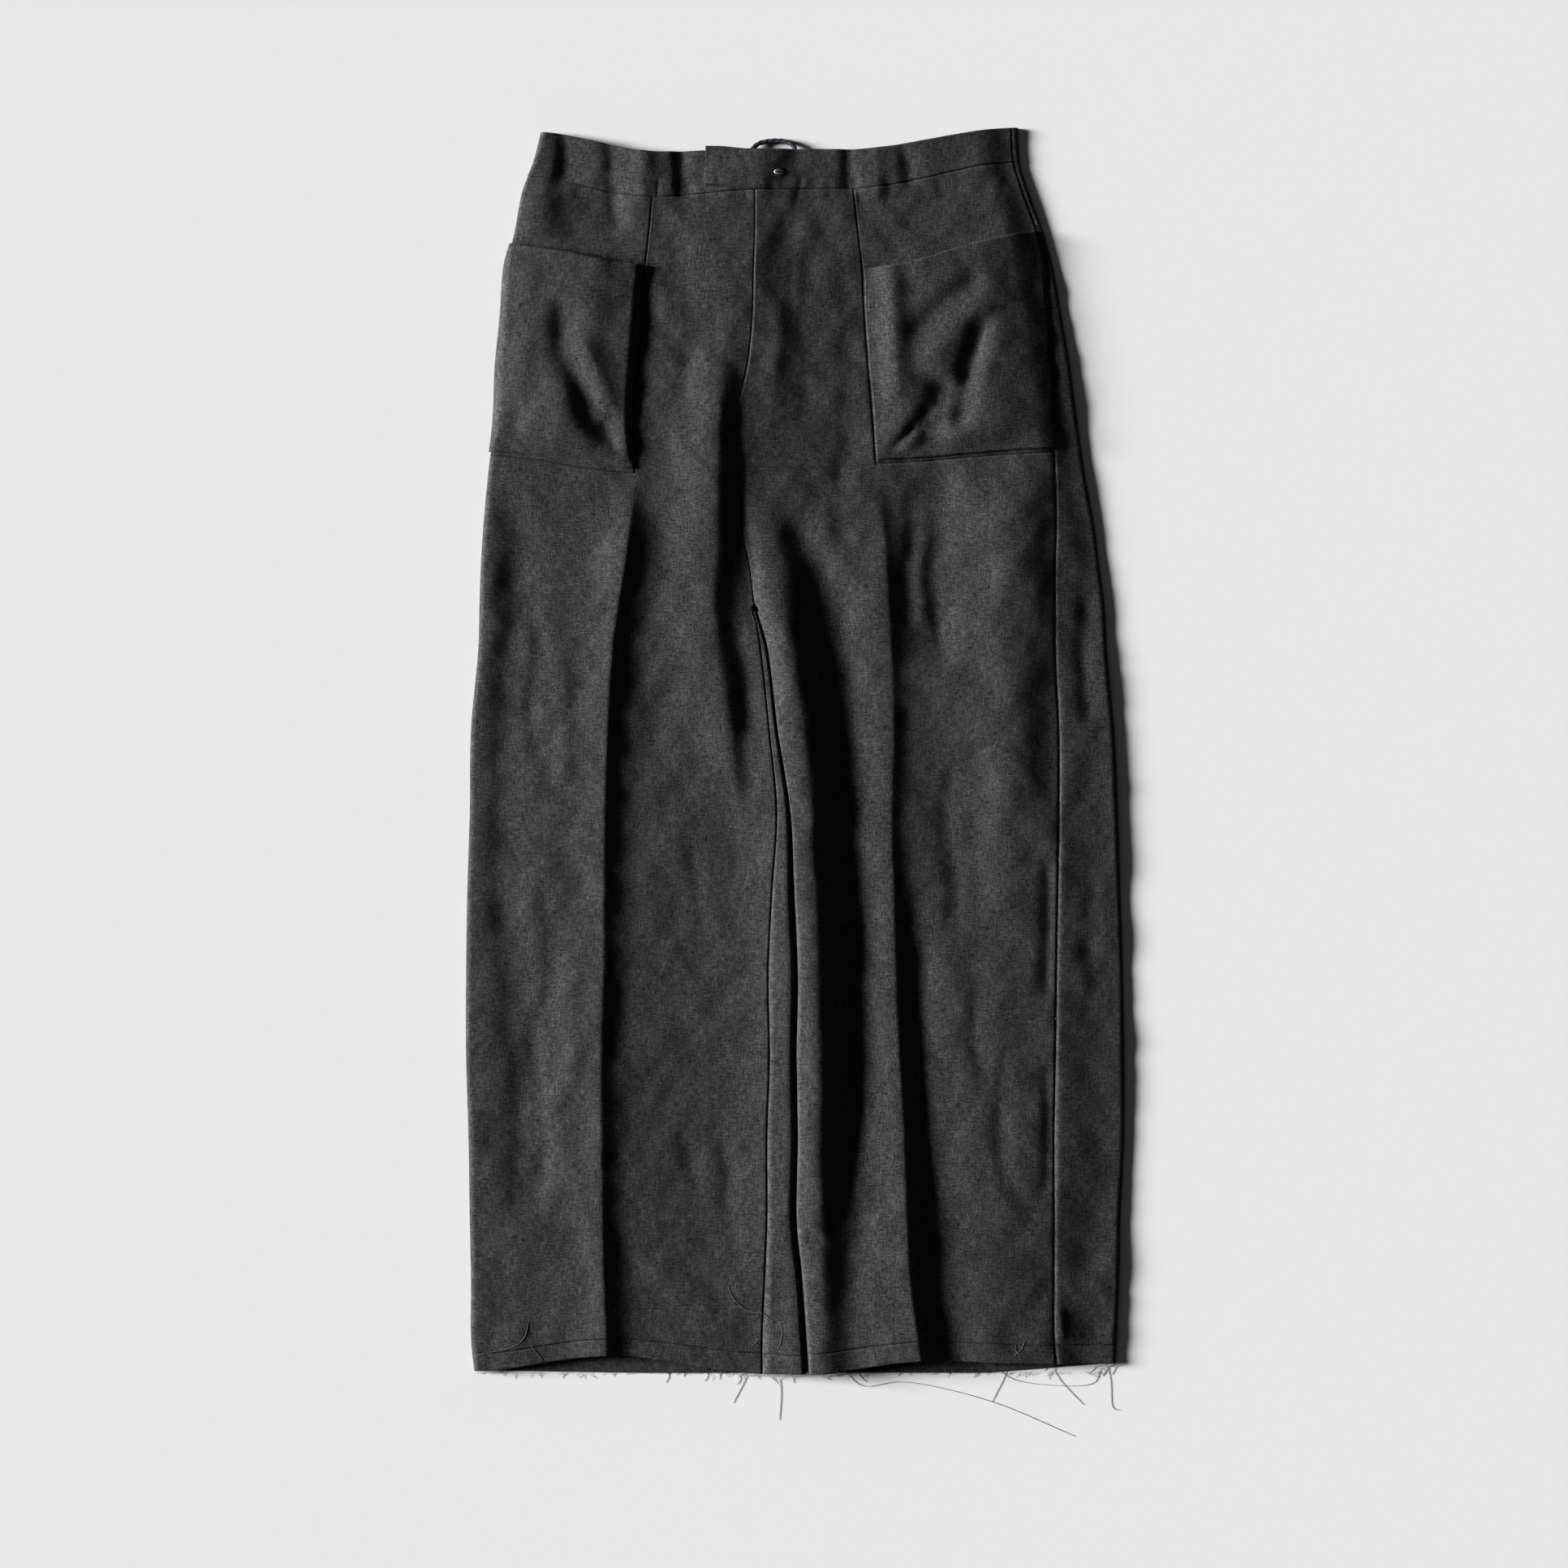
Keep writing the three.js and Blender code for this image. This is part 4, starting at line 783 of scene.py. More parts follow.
@dataclass(frozen=True)
class Half:
    """One half of the trousers as a surface of a row and a column."""

    rows: Array
    runs: Sequence[Run]
    flip: float

    def surface(self, row: Array, column: Array) -> Array:
        """Points of the cloth's middle on a grid.

        Args:
            row: Rows, counted as in the row table, with places between them as fractions.
            column: Columns, counted through the shares of the runs in order.

        Returns:
            An array of rows by columns by three.
        """
        row, column = np.asarray(row, dtype=float), np.asarray(column, dtype=float)
        known = np.arange(len(self.rows))
        heights = {key: np.interp(row, known, self.rows[:, i]) for i, key in enumerate(ROW_KEYS)}
        floor = np.where(row >= BAND_SEAM, BAND_CLOTH / 2, CLOTH / 2)
        points = np.zeros((len(row), len(column), 3))
        first = 0
        for run in self.runs:
            last = first + len(run.shares) - 1
            inside = (column >= first) & (column <= last)
            if inside.any():
                share = np.interp(column[inside], np.arange(first, last + 1), run.shares)
                points[:, inside] = run.place(share, heights, floor)
            first = last
        return points


RIGHT = Half(RIGHT_ROWS, RIGHT_RUNS, -1.0)
LEFT = Half(LEFT_ROWS, LEFT_RUNS, 1.0)


def grid_normals(points: Array, flip: float) -> Array:
    """Unit normals of a grid of points, from the cross product of its two directions.

    Args:
        points: Rows by columns by three.
        flip: 1 or -1, whichever turns the normals outwards.

    Returns:
        An array of the same shape.
    """
    across = np.gradient(points, axis=1)
    up = np.gradient(points, axis=0)
    return unit(np.cross(across, up) * flip)


def grid_lengths(points: Array) -> Array:
    """Distance along each row of a grid from its first column."""
    steps = np.linalg.norm(np.diff(points, axis=1), axis=-1)
    return np.concatenate([np.zeros((len(points), 1)), np.cumsum(steps, axis=1)], axis=1)


def make_mesh(name: str, vertices: Array, faces: Array, uv: Optional[Array] = None) -> bpy.types.Object:
    """An object at the origin with a smooth mesh of faces of one size.

    Args:
        name: The object's name.
        vertices: Points in the part's frame, in millimetres, one row each.
        faces: Corner numbers, one row for each face.
        uv: The place of each vertex on the flat cloth, in metres.

    Returns:
        The object, linked to the scene.
    """
    mesh = bpy.data.meshes.new(name)
    count, corners = faces.shape
    places = np.ascontiguousarray((vertices - MIDDLE) * MM, dtype=np.float32)
    mesh.vertices.add(len(vertices))
    mesh.vertices.foreach_set("co", places.ravel())
    mesh.loops.add(count * corners)
    mesh.loops.foreach_set("vertex_index", np.ascontiguousarray(faces, dtype=np.int32).ravel())
    mesh.polygons.add(count)
    mesh.polygons.foreach_set("loop_start", np.arange(0, count * corners, corners, dtype=np.int32))
    mesh.polygons.foreach_set("use_smooth", np.ones(count, dtype=bool))
    mesh.update(calc_edges=True)
    if uv is not None:
        layer = mesh.uv_layers.new(name="cloth")
        layer.data.foreach_set("uv", np.ascontiguousarray(uv[faces.ravel()], dtype=np.float32).ravel())
    mesh.validate()
    piece = bpy.data.objects.new(name, mesh)
    bpy.context.scene.collection.objects.link(piece)
    return piece


@dataclass
class Wall:
    """A closed thin wall on some cells of a grid of points. Its free edges stand back by half a seam gap."""

    points: Array
    thickness: float
    flip: float
    active: Optional[Array] = None
    uv: Optional[Array] = None

    MOST_STEP = 0.4

    def neighbour(self, row: Array, column: Array) -> Array:
        """Points of the grid at the given rows and columns, kept inside it."""
        rows, columns = self.points.shape[:2]
        return self.points[np.clip(row, 0, rows - 1), np.clip(column, 0, columns - 1)]

    def stepped_back(self, cells: Array) -> Array:
        """The points, with those on a free edge moved half a seam gap towards the cloth.

        Args:
            cells: Whether each cell is cloth, with a border of empty cells all round.

        Returns:
            An array like the points.
        """
        whole = cells.astype(int)
        sideways = np.sign(whole[:-1, 1:] + whole[1:, 1:] - whole[:-1, :-1] - whole[1:, :-1])
        upwards = np.sign(whole[1:, :-1] + whole[1:, 1:] - whole[:-1, :-1] - whole[:-1, 1:])
        row, column = np.indices(sideways.shape)
        moved = self.points.copy()
        for target in (self.neighbour(row, column + sideways), self.neighbour(row + upwards, column)):
            step = target - self.points
            length = np.maximum(np.linalg.norm(step, axis=-1, keepdims=True), TINY)
            moved += step * np.minimum(SEAM_GAP / 2 / length, self.MOST_STEP)
        return moved

    def build(self, name: str) -> bpy.types.Object:
        """The wall's object: its outer and inner faces, and a rim along each free edge."""
        rows, columns = self.points.shape[:2]
        active = np.ones((rows - 1, columns - 1), dtype=bool) if self.active is None else self.active
        cells = np.pad(active, 1)
        points = self.stepped_back(cells)
        half = grid_normals(self.points, self.flip) * self.thickness / 2
        size = rows * columns
        vertices = np.concatenate([(points + half).reshape(-1, 3), (points - half).reshape(-1, 3)])
        number = np.arange(size).reshape(rows, columns)
        low, right, high, left = number[:-1, :-1], number[:-1, 1:], number[1:, 1:], number[1:, :-1]

        def chosen(mask: Array, *corners: Array) -> Array:
            """Faces with the given corners, one row for each cell where mask is true."""
            return np.stack([corner[mask] for corner in corners], axis=-1)

        below = active & ~cells[:-2, 1:-1]
        above = active & ~cells[2:, 1:-1]
        before = active & ~cells[1:-1, :-2]
        after = active & ~cells[1:-1, 2:]
        faces = np.concatenate([
            chosen(active, low, right, high, left),
            chosen(active, left + size, high + size, right + size, low + size),
            chosen(below, low + size, right + size, right, low),
            chosen(above, left, high, high + size, left + size),
            chosen(before, low + size, low, left, left + size),
            chosen(after, right, right + size, high + size, high),
        ])
        if self.flip < 0:
            faces = faces[:, ::-1]
        used, renumbered = np.unique(faces, return_inverse=True)
        uv = None if self.uv is None else np.concatenate([self.uv.reshape(-1, 2)] * 2)[used]
        return make_mesh(name, vertices[used], renumbered.reshape(faces.shape), uv)


PLACE_DIGITS = 5


def spread(knots: Sequence[float], counts: Sequence[int]) -> Array:
    """Places from the first knot to the last, with so many even steps between each two of them.

    Args:
        knots: Increasing places that the result must hold.
        counts: How many steps lie between each knot and the next.

    Returns:
        The places in order.
    """
    steps = zip(knots, knots[1:], counts)
    runs = [np.linspace(low, high, count, endpoint=False) for low, high, count in steps]
    return np.unique(np.round(np.concatenate(runs + [[knots[-1]]]), PLACE_DIGITS))


def row_places(half: Half, low: int, high: int, step: float) -> Array:
    """Rows from low to high, about step millimetres apart."""
    rises = np.diff(half.rows[low:high + 1, 0])
    counts = [max(1, round(rise / step)) for rise in rises]
    return spread(range(low, high + 1), counts)


class Graph:
    """The nodes of one material."""

    def __init__(self, name: str) -> None:
        """Starts an empty material with its output."""
        self.material = bpy.data.materials.new(name)
        self.material.use_nodes = True
        self.tree = self.material.node_tree
        self.tree.nodes.clear()
        self.output = self.tree.nodes.new("ShaderNodeOutputMaterial")

    def node(self, kind: str, settings: Optional[dict] = None, **inputs: object) -> bpy.types.Node:
        """A node of a type, with its settings set first and then the values or links of its sockets.

        Args:
            kind: The node's type.
            settings: The node's own properties.
            **inputs: Socket names with underscores for spaces, each with a number, a colour or a link.

        Returns:
            The node.
        """
        made = self.tree.nodes.new(kind)
        for key, value in (settings or {}).items():
            setattr(made, key, value)
        for key, value in inputs.items():
            self.feed(made.inputs[key.replace("_", " ")], value)
        return made

    def feed(self, socket: bpy.types.NodeSocket, value: object) -> None:
        """Links a socket or sets its value."""
        if isinstance(value, Value):
            self.tree.links.new(value.socket, socket)
        elif isinstance(value, bpy.types.NodeSocket):
            self.tree.links.new(value, socket)
        else:
            socket.default_value = value

    def flat_place(self) -> bpy.types.NodeSocket:
        """The place on the flat cloth, in metres."""
        return self.node("ShaderNodeUVMap", {"uv_map": "cloth"}).outputs["UV"]

    def object_place(self) -> bpy.types.NodeSocket:
        """The place in the object, in metres."""
        return self.node("ShaderNodeTexCoord").outputs["Object"]

    def split(self, vector: bpy.types.NodeSocket) -> tuple["Value", "Value", "Value"]:
        """The three parts of a vector."""
        parts = self.node("ShaderNodeSeparateXYZ", Vector=vector)
        return tuple(Value(self, parts.outputs[axis]) for axis in "XYZ")

    def noise(
        self, place: bpy.types.NodeSocket, blob: Sequence[float], detail: float, rough: float,
    ) -> "Value":
        """Noise from 0 to 1.

        Args:
            place: Where, in metres.
            blob: Size of a blob along each axis, in metres.
            detail: How many finer layers it has.
            rough: How strong each finer layer is beside the one before.

        Returns:
            The noise.
        """
        counted = self.node("ShaderNodeVectorMath", {"operation": "MULTIPLY"})
        self.feed(counted.inputs[0], place)
        self.feed(counted.inputs[1], tuple(1 / size for size in blob))
        made = self.node("ShaderNodeTexNoise", {"noise_dimensions": "3D"}, Vector=counted.outputs[0],
                         Scale=1.0, Detail=detail, Roughness=rough)
        return Value(self, made.outputs["Fac"])

    def between(self, value: "Value", low: float, high: float) -> "Value":
        """0 below low, 1 above high and smooth between."""
        made = self.node("ShaderNodeMapRange", {"interpolation_type": "SMOOTHSTEP"}, Value=value,
                         From_Min=low, From_Max=high)
        return Value(self, made.outputs["Result"])

    def mixed(self, share: object, start: object, end: object) -> bpy.types.NodeSocket:
        """A colour from start to end."""
        made = self.node("ShaderNodeMix", {"data_type": "RGBA"})
        self.feed(made.inputs[0], share)
        self.feed(made.inputs[6], start)
        self.feed(made.inputs[7], end)
        return made.outputs[2]

    def tinted(self, colour: object, value: object) -> bpy.types.NodeSocket:
        """A colour multiplied by a number."""
        made = self.node("ShaderNodeVectorMath", {"operation": "SCALE"})
        self.feed(made.inputs[0], colour)
        self.feed(made.inputs["Scale"], value)
        return made.outputs[0]

    def bumped(self, height: "Value", distance: float) -> bpy.types.NodeSocket:
        """A normal from a height, whose unit is distance metres."""
        return self.node("ShaderNodeBump", None, Height=height, Distance=distance, Strength=1.0).outputs[0]

    def principled(self, colour: object, roughness: object, **inputs: object) -> bpy.types.Node:
        """The main shader, with its colour, its roughness and further inputs."""
        return self.node("ShaderNodeBsdfPrincipled", None, Base_Color=colour, Roughness=roughness, **inputs)

    def finish(self, shader: bpy.types.Node) -> bpy.types.Material:
        """Links the shader to the output and gives the material."""
        self.tree.links.new(shader.outputs[0], self.output.inputs["Surface"])
        return self.material


class Value:
    """A number that changes over a surface. Arithmetic on it adds Math nodes."""

    def __init__(self, graph: Graph, socket: bpy.types.NodeSocket) -> None:
        """Wraps a socket of a graph."""
        self.graph = graph
        self.socket = socket

    def math(self, operation: str, *operands: object) -> "Value":
        """A Math node with the given operands."""
        made = self.graph.node("ShaderNodeMath", {"operation": operation})
        for socket, operand in zip(made.inputs, operands):
            self.graph.feed(socket, operand)
        return Value(self.graph, made.outputs[0])

    def __add__(self, other: object) -> "Value":
        """Sum."""
        return self.math("ADD", self, other)

    def __radd__(self, other: object) -> "Value":
        """Sum."""
        return self.math("ADD", other, self)

    def __sub__(self, other: object) -> "Value":
        """Difference."""
        return self.math("SUBTRACT", self, other)

    def __rsub__(self, other: object) -> "Value":
        """Difference from a number."""
        return self.math("SUBTRACT", other, self)

    def __mul__(self, other: object) -> "Value":
        """Product."""
        return self.math("MULTIPLY", self, other)

    def __rmul__(self, other: object) -> "Value":
        """Product."""
        return self.math("MULTIPLY", other, self)

    def sine(self) -> "Value":
        """Sine of the number."""
        return self.math("SINE", self)


@dataclass(frozen=True)
class Twill:
    """Matt dark twill with slubs along both threads and a fine speckle of brown and grey fibres.

    Lengths are in metres: wale is the distance between two diagonal ridges, slub and thread the length and
    the width of an uneven place in a thread, ripple the size of the blobs that bend the ridges, and fleck
    that of a speck. worn and faded are the patches of lighter and of browner cloth, across and along. depth
    is the height of the weave. waver is how far the ridges bend, in radians.
    """

    name: str = "twill"
    colour: Colour = (0.041, 0.0400, 0.0385)
    brown: Colour = (0.060, 0.052, 0.045)
    grey: Colour = (0.064, 0.066, 0.069)
    wale: float = 0.0019
    waver: float = 5.0
    slub: float = 0.006
    thread: float = 0.0013
    ripple: float = 1 / 300
    fleck: float = 1 / 950
    worn: Point = (1 / 60, 1 / 22)
    faded: Point = (1 / 240, 1 / 90)
    depth: float = 0.00022
    darkening: float = 3.15

    def material(self) -> bpy.types.Material:
        """The twill's material, which follows the flat cloth."""
        graph = Graph(self.name)
        place = graph.flat_place()
        across, along, _ = graph.split(place)
        waver = graph.noise(place, (self.ripple, self.ripple, 1), 2.0, 0.6)
        wale = ((across - along) * (2 * math.pi / self.wale) + waver * self.waver).sine() * 0.5 + 0.5
        warp = graph.noise(place, (self.thread, self.slub, 1), 3.0, 0.6)
        weft = graph.noise(place, (self.slub, self.thread, 1), 3.0, 0.6)
        speck = graph.noise(place, (self.fleck, self.fleck, 1), 2.0, 0.7)
        cloud = graph.noise(place, (*self.worn, 1), 4.0, 0.6)
        tint = graph.noise(place, (*self.faded, 1), 3.0, 0.6)
        fibres = graph.mixed(graph.between(tint, 0.42, 0.68), (*self.colour, 1), (*self.brown, 1))
        fibres = graph.mixed(graph.between(speck, 0.5, 0.75), fibres, (*self.grey, 1))
        tone = warp * 2.2 + weft * 2.2 + cloud * 0.8 + speck * 2.6 + wale * 0.5 - self.darkening
        shader = graph.principled(graph.tinted(fibres, tone), 0.92)
        shader.inputs["Specular IOR Level"].default_value = 0.25
        shader.inputs["Sheen Weight"].default_value = 0.08
        shader.inputs["Sheen Roughness"].default_value = 0.5
        height = wale * 0.45 + warp * 0.3 + weft * 0.3 + speck * 0.4
        graph.feed(shader.inputs["Normal"], graph.bumped(height, self.depth))
        return graph.finish(shader)


@dataclass(frozen=True)
class Braid:
    """Matt blue-black braid and thread."""

    name: str = "braid"
    colour: Colour = (0.017, 0.021, 0.030)
    light: Colour = (0.034, 0.040, 0.052)
    fibre: float = 1 / 2500
    depth: float = 0.0002

    def material(self) -> bpy.types.Material:
        """The braid's material, with a fine fibre noise in object space."""
        graph = Graph(self.name)
        fibre = graph.noise(graph.object_place(), (self.fibre,) * 3, 3.0, 0.6)
        colour = graph.mixed(graph.between(fibre, 0.35, 0.7), (*self.colour, 1), (*self.light, 1))
        shader = graph.principled(colour, 0.8)
        graph.feed(shader.inputs["Normal"], graph.bumped(fibre, self.depth))
        return graph.finish(shader)


@dataclass(frozen=True)
class Thread:
    """Matt thread of one colour with a little unevenness."""

    name: str
    colour: Colour
    fibre: float = 1 / 900

    def material(self) -> bpy.types.Material:
        """The thread's material."""
        graph = Graph(self.name)
        fibre = graph.noise(graph.object_place(), (self.fibre,) * 3, 2.0, 0.6)
        return graph.finish(graph.principled(graph.tinted(self.colour, fibre * 0.8 + 0.6), 0.9))


@dataclass(frozen=True)
class Plating:
    """Bright plated wire with faint rubbing."""

    name: str = "plating"
    colour: Colour = (0.92, 0.92, 0.93)
    rubbed: float = 1 / 1500

    def material(self) -> bpy.types.Material:
        """The wire's material."""
        graph = Graph(self.name)
        rub = graph.noise(graph.object_place(), (self.rubbed,) * 3, 3.0, 0.6)
        return graph.finish(graph.principled((*self.colour, 1), rub * 0.25 + 0.2, Metallic=0.2))


@dataclass(frozen=True)
class Paper:
    """The pale ground."""

    name: str = "ground"
    colour: Colour = (0.61, 0.61, 0.61)

    def material(self) -> bpy.types.Material:
        """The ground's plain material."""
        graph = Graph(self.name)
        shader = graph.principled((*self.colour, 1), 0.9)
        shader.inputs["Specular IOR Level"].default_value = 0.1
        return graph.finish(shader)


EYELET_THREAD = Thread("eyelet", (0.026, 0.025, 0.024))
SEWING_THREAD = Thread("sewing", (0.050, 0.048, 0.046))
LOOSE_FIBRE = Thread("fibre", (0.125, 0.118, 0.110))


@dataclass
class Finishes:
    """The materials, each made once."""

    twill: bpy.types.Material = field(default_factory=Twill().material)
    braid: bpy.types.Material = field(default_factory=Braid().material)
    plating: bpy.types.Material = field(default_factory=Plating().material)
    eyelet: bpy.types.Material = field(default_factory=EYELET_THREAD.material)
    sewing: bpy.types.Material = field(default_factory=SEWING_THREAD.material)
    fibre: bpy.types.Material = field(default_factory=LOOSE_FIBRE.material)
    ground: bpy.types.Material = field(default_factory=Paper().material)


@dataclass(frozen=True)
class Cut:
    """The size of the flat piece of cloth, in metres, and its area in square metres."""

    width: float
    length: float
    area: float


def report(piece: bpy.types.Object) -> None:
    """Logs a finished piece."""
    log.info("%s: %d faces", piece.name, len(piece.data.polygons))


def dress(piece: bpy.types.Object, material: bpy.types.Material, slot: str, *nodes: str) -> bpy.types.Object:
    """Gives a piece its material and its place in the part.

    Args:
        piece: The piece.
        material: Its material.
        slot: The record's material slot. Not used.
        *nodes: The part's nodes that it stands for.

    Returns:
        The piece.
    """
    piece.data.materials.append(material)
    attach(piece, "root")
    if nodes:
        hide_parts(*nodes)
    report(piece)
    return piece


def cloth_piece(name: str, points: Array, thickness: float, flip: float, finishes: Finishes,
                active: Optional[Array] = None) -> bpy.types.Object:
    """A sheet of twill with the flat cloth's coordinates for its weave.

    Args:
        name: The part's node that it stands for.
        points: The grid of its middle.
        thickness: Its thickness.
        flip: 1 or -1, whichever turns its normals outwards.
        finishes: The materials.
        active: Which cells of the grid are cloth, if not all.

    Returns:
        The piece.
    """
    uv = np.stack([grid_lengths(points) * flip, points[..., 1]], axis=-1) * MM
    piece = Wall(points, thickness, flip, active, uv).build(f"{name}_cloth")
    dress(piece, finishes.twill, "cloth", name)
    return piece


@dataclass
class Panel:
    """A cut panel of a half: those cells of a part of its surface for which the function keeps is true."""

    name: str
    half: Half
    rows: Array
    columns: Array
    keeps: Callable[[Array, Array], Array]
    cut: Cut

    def build(self, finishes: Finishes) -> bpy.types.Object:
        """The panel's wall."""
        points = self.half.surface(self.rows, self.columns)
        row_middle = (self.rows[1:] + self.rows[:-1])[:, None] / 2
        column_middle = (self.columns[1:] + self.columns[:-1])[None, :] / 2
        every = np.ones((len(self.rows) - 1, len(self.columns) - 1), dtype=bool)
        active = self.keeps(row_middle, column_middle) & every
        return cloth_piece(self.name, points, CLOTH, self.half.flip, finishes, active)


ROW_STEP = 2.4
HEM_STEP = 1.7
BAND_STEP = 1.5
RIGHT_FRONT_COLUMNS = spread(
    (*range(16), 19, 20),
    (5, 5, 5, 5, 5, 5, 6, 8, 10, 8, 6, 6, 6, 6, 6, 12, 1),
)
RIGHT_BACK_COLUMNS = spread((20, 21, 22, 23, 27, 28), (7, 8, 9, 10, 4))
LEFT_FRONT_COLUMNS = spread(
    (0, 2, *range(6, 22)),
    (6, 12, 4, 4, 5, 5, 5, 5, 6, 8, 8, 5, 6, 8, 8, 8, 8),
)
LEFT_BACK_COLUMNS = spread((21, 22, 23, 27, 28, 29, 30, 31), (8, 8, 12, 6, 6, 6, 6))


def leg_only(row: Array, below: Array) -> Array:
    """True below the row where the legs part, or wherever below is false."""
    return (row < LEGS_PART) | ~below


def body_panels() -> list[Panel]:
    """The fronts, yokes, backs and hems of both halves."""
    right_body = row_places(RIGHT, HEM_SEAM, WAIST_SEAM, ROW_STEP)
    left_body = row_places(LEFT, HEM_SEAM, WAIST_SEAM, ROW_STEP)
    right_yoke = row_places(RIGHT, POCKET_BOTTOM, WAIST_SEAM, ROW_STEP)
    left_yoke = row_places(LEFT, POCKET_BOTTOM, WAIST_SEAM, ROW_STEP)
    right_hem = row_places(RIGHT, RAW_HEM, HEM_SEAM, HEM_STEP)
    left_hem = row_places(LEFT, RAW_HEM, HEM_SEAM, HEM_STEP)
    right_yoke_columns = RIGHT_FRONT_COLUMNS[RIGHT_FRONT_COLUMNS >= RIGHT_CREASE]
    left_yoke_columns = LEFT_FRONT_COLUMNS[LEFT_FRONT_COLUMNS >= LEFT_CREASE]

    def every(row: Array, column: Array) -> Array:
        """Keeps every cell."""
        return np.ones(np.broadcast(row, column).shape, dtype=bool)

    def right_front(row: Array, column: Array) -> Array:
        """The right front without its yoke."""
        return (row < POCKET_BOTTOM) | (column < RIGHT_CREASE)

    def right_back(row: Array, column: Array) -> Array:
        """The right back, which comes up round the inner edge on the leg only."""
        return leg_only(row, column > RIGHT_FLOOR_END)

    def left_front(row: Array, column: Array) -> Array:
        """The left front without its yoke, which goes under the inner edge on the leg only."""
        return ((row < POCKET_BOTTOM) | (column < LEFT_CREASE)) & leg_only(row, column < LEFT_TOP)

    return [
        Panel("front_right", RIGHT, right_body, RIGHT_FRONT_COLUMNS, right_front, Cut(0.28, 0.95, 0.22)),
        Panel("side_yoke_right", RIGHT, right_yoke, right_yoke_columns, every, Cut(0.15, 0.24, 0.032)),
        Panel("back_right", RIGHT, right_body, RIGHT_BACK_COLUMNS, right_back, Cut(0.28, 0.95, 0.21)),
        Panel("hem_front_right", RIGHT, right_hem, RIGHT_FRONT_COLUMNS, every, Cut(0.28, 0.017, 0.0042)),
        Panel("hem_back_right", RIGHT, right_hem, RIGHT_BACK_COLUMNS, every, Cut(0.28, 0.016, 0.004)),
        Panel("front_left", LEFT, left_body, LEFT_FRONT_COLUMNS, left_front, Cut(0.28, 0.95, 0.21)),
        Panel("side_yoke_left", LEFT, left_yoke, left_yoke_columns, every, Cut(0.16, 0.24, 0.034)),
        Panel("back_left", LEFT, left_body, LEFT_BACK_COLUMNS, every, Cut(0.29, 0.95, 0.24)),
        Panel("hem_front_left", LEFT, left_hem, LEFT_FRONT_COLUMNS, every, Cut(0.28, 0.017, 0.0042)),
        Panel("hem_back_left", LEFT, left_hem, LEFT_BACK_COLUMNS, every, Cut(0.28, 0.016, 0.004)),
    ]


@dataclass
class Waistband:
    """The waistband, folded double: a right front, a left front that ends in the tab, and a back."""

    tab_start: float = 0.9
    tab_end: float = 4.43
    front_cut: Cut = Cut(0.19, 0.036, 0.0066)
    tab_cut: Cut = Cut(0.26, 0.036, 0.0087)
    back_cut: Cut = Cut(0.40, 0.034, 0.0125)

    def rows(self, half: Half) -> Array:
        """Rows of a half's waistband."""
        return row_places(half, BAND_SEAM, BAND_TOP, BAND_STEP)

    def front_points(self) -> Array:
        """The tab, which is the right front's points moved out by its thickness, and then the left front."""
        columns = spread((self.tab_start, 1, 2, 3, 4, self.tab_end), (1, 8, 8, 8, 6))[::-1]
        under = RIGHT.surface(self.rows(RIGHT), columns)
        normals = grid_normals(under, 1.0)
        tab = under + normals * TAB_STEP
        tab[..., 1] += self.tab_rise(tab)
        front_columns = LEFT_FRONT_COLUMNS[LEFT_FRONT_COLUMNS >= LEFT_TOP]
        front = LEFT.surface(self.rows(LEFT), front_columns)
        settle = 1 - smooth((front[..., 0] - line_at("centre", front[..., 1])) / TAB_SETTLE)
        front[..., 2] += (TAB_STEP - FLY_STEP) * settle
        return np.concatenate([tab, front], axis=1)

    def tab_rise(self, tab: Array) -> Array:
        """How far the tab's corners lie above the band under it, growing from the centre to its end."""
        out = smooth((line_at("centre", tab[..., 1]) - tab[..., 0]) / TAB_REACH)
        up = np.linspace(0, 1, len(tab))[:, None]
        return out * lerp(TAB_FOOT_RISE, TAB_TOP_RISE, up)

    def back_points(self) -> Array:
        """From the left side seam over the edge and along the ground to the right side seam."""
        left = LEFT.surface(self.rows(LEFT), LEFT_BACK_COLUMNS)
        right_columns = RIGHT_BACK_COLUMNS[RIGHT_BACK_COLUMNS <= RIGHT_FLOOR_END][::-1]
        right = RIGHT.surface(self.rows(RIGHT), right_columns)
        return np.concatenate([left, right[:, 1:]], axis=1)

    def build(self, finishes: Finishes) -> None:
        """All three pieces."""
        right = RIGHT.surface(self.rows(RIGHT), RIGHT_FRONT_COLUMNS)
        for name, points, flip, cut in (
            ("waistband_front_right", right, RIGHT.flip, self.front_cut),
            ("waistband_front_left", self.front_points(), LEFT.flip, self.tab_cut),
            ("waistband_back", self.back_points(), LEFT.flip, self.back_cut),
        ):
            cloth_piece(name, points, BAND_CLOTH, flip, finishes)

    def seat(self, x: float, row: float) -> tuple[Array, Array, Array, Array]:
        """A place on the front's outer face, with the directions across, up and out of the cloth there.

        Args:
            x: The place across.
            row: The place up the band, as a share of its height.

        Returns:
            The point and three unit vectors.
        """
        points = self.front_points()
        normals = grid_normals(points, LEFT.flip)
        up = int(round(row * (len(points) - 1)))
        column = int(np.argmin(np.abs(points[up, :, 0] - x)))
        out = normals[up, column]
        across = unit(np.cross([0.0, 1.0, 0.0], out))
        return points[up, column] + out * BAND_CLOTH / 2, across, np.cross(out, across), out


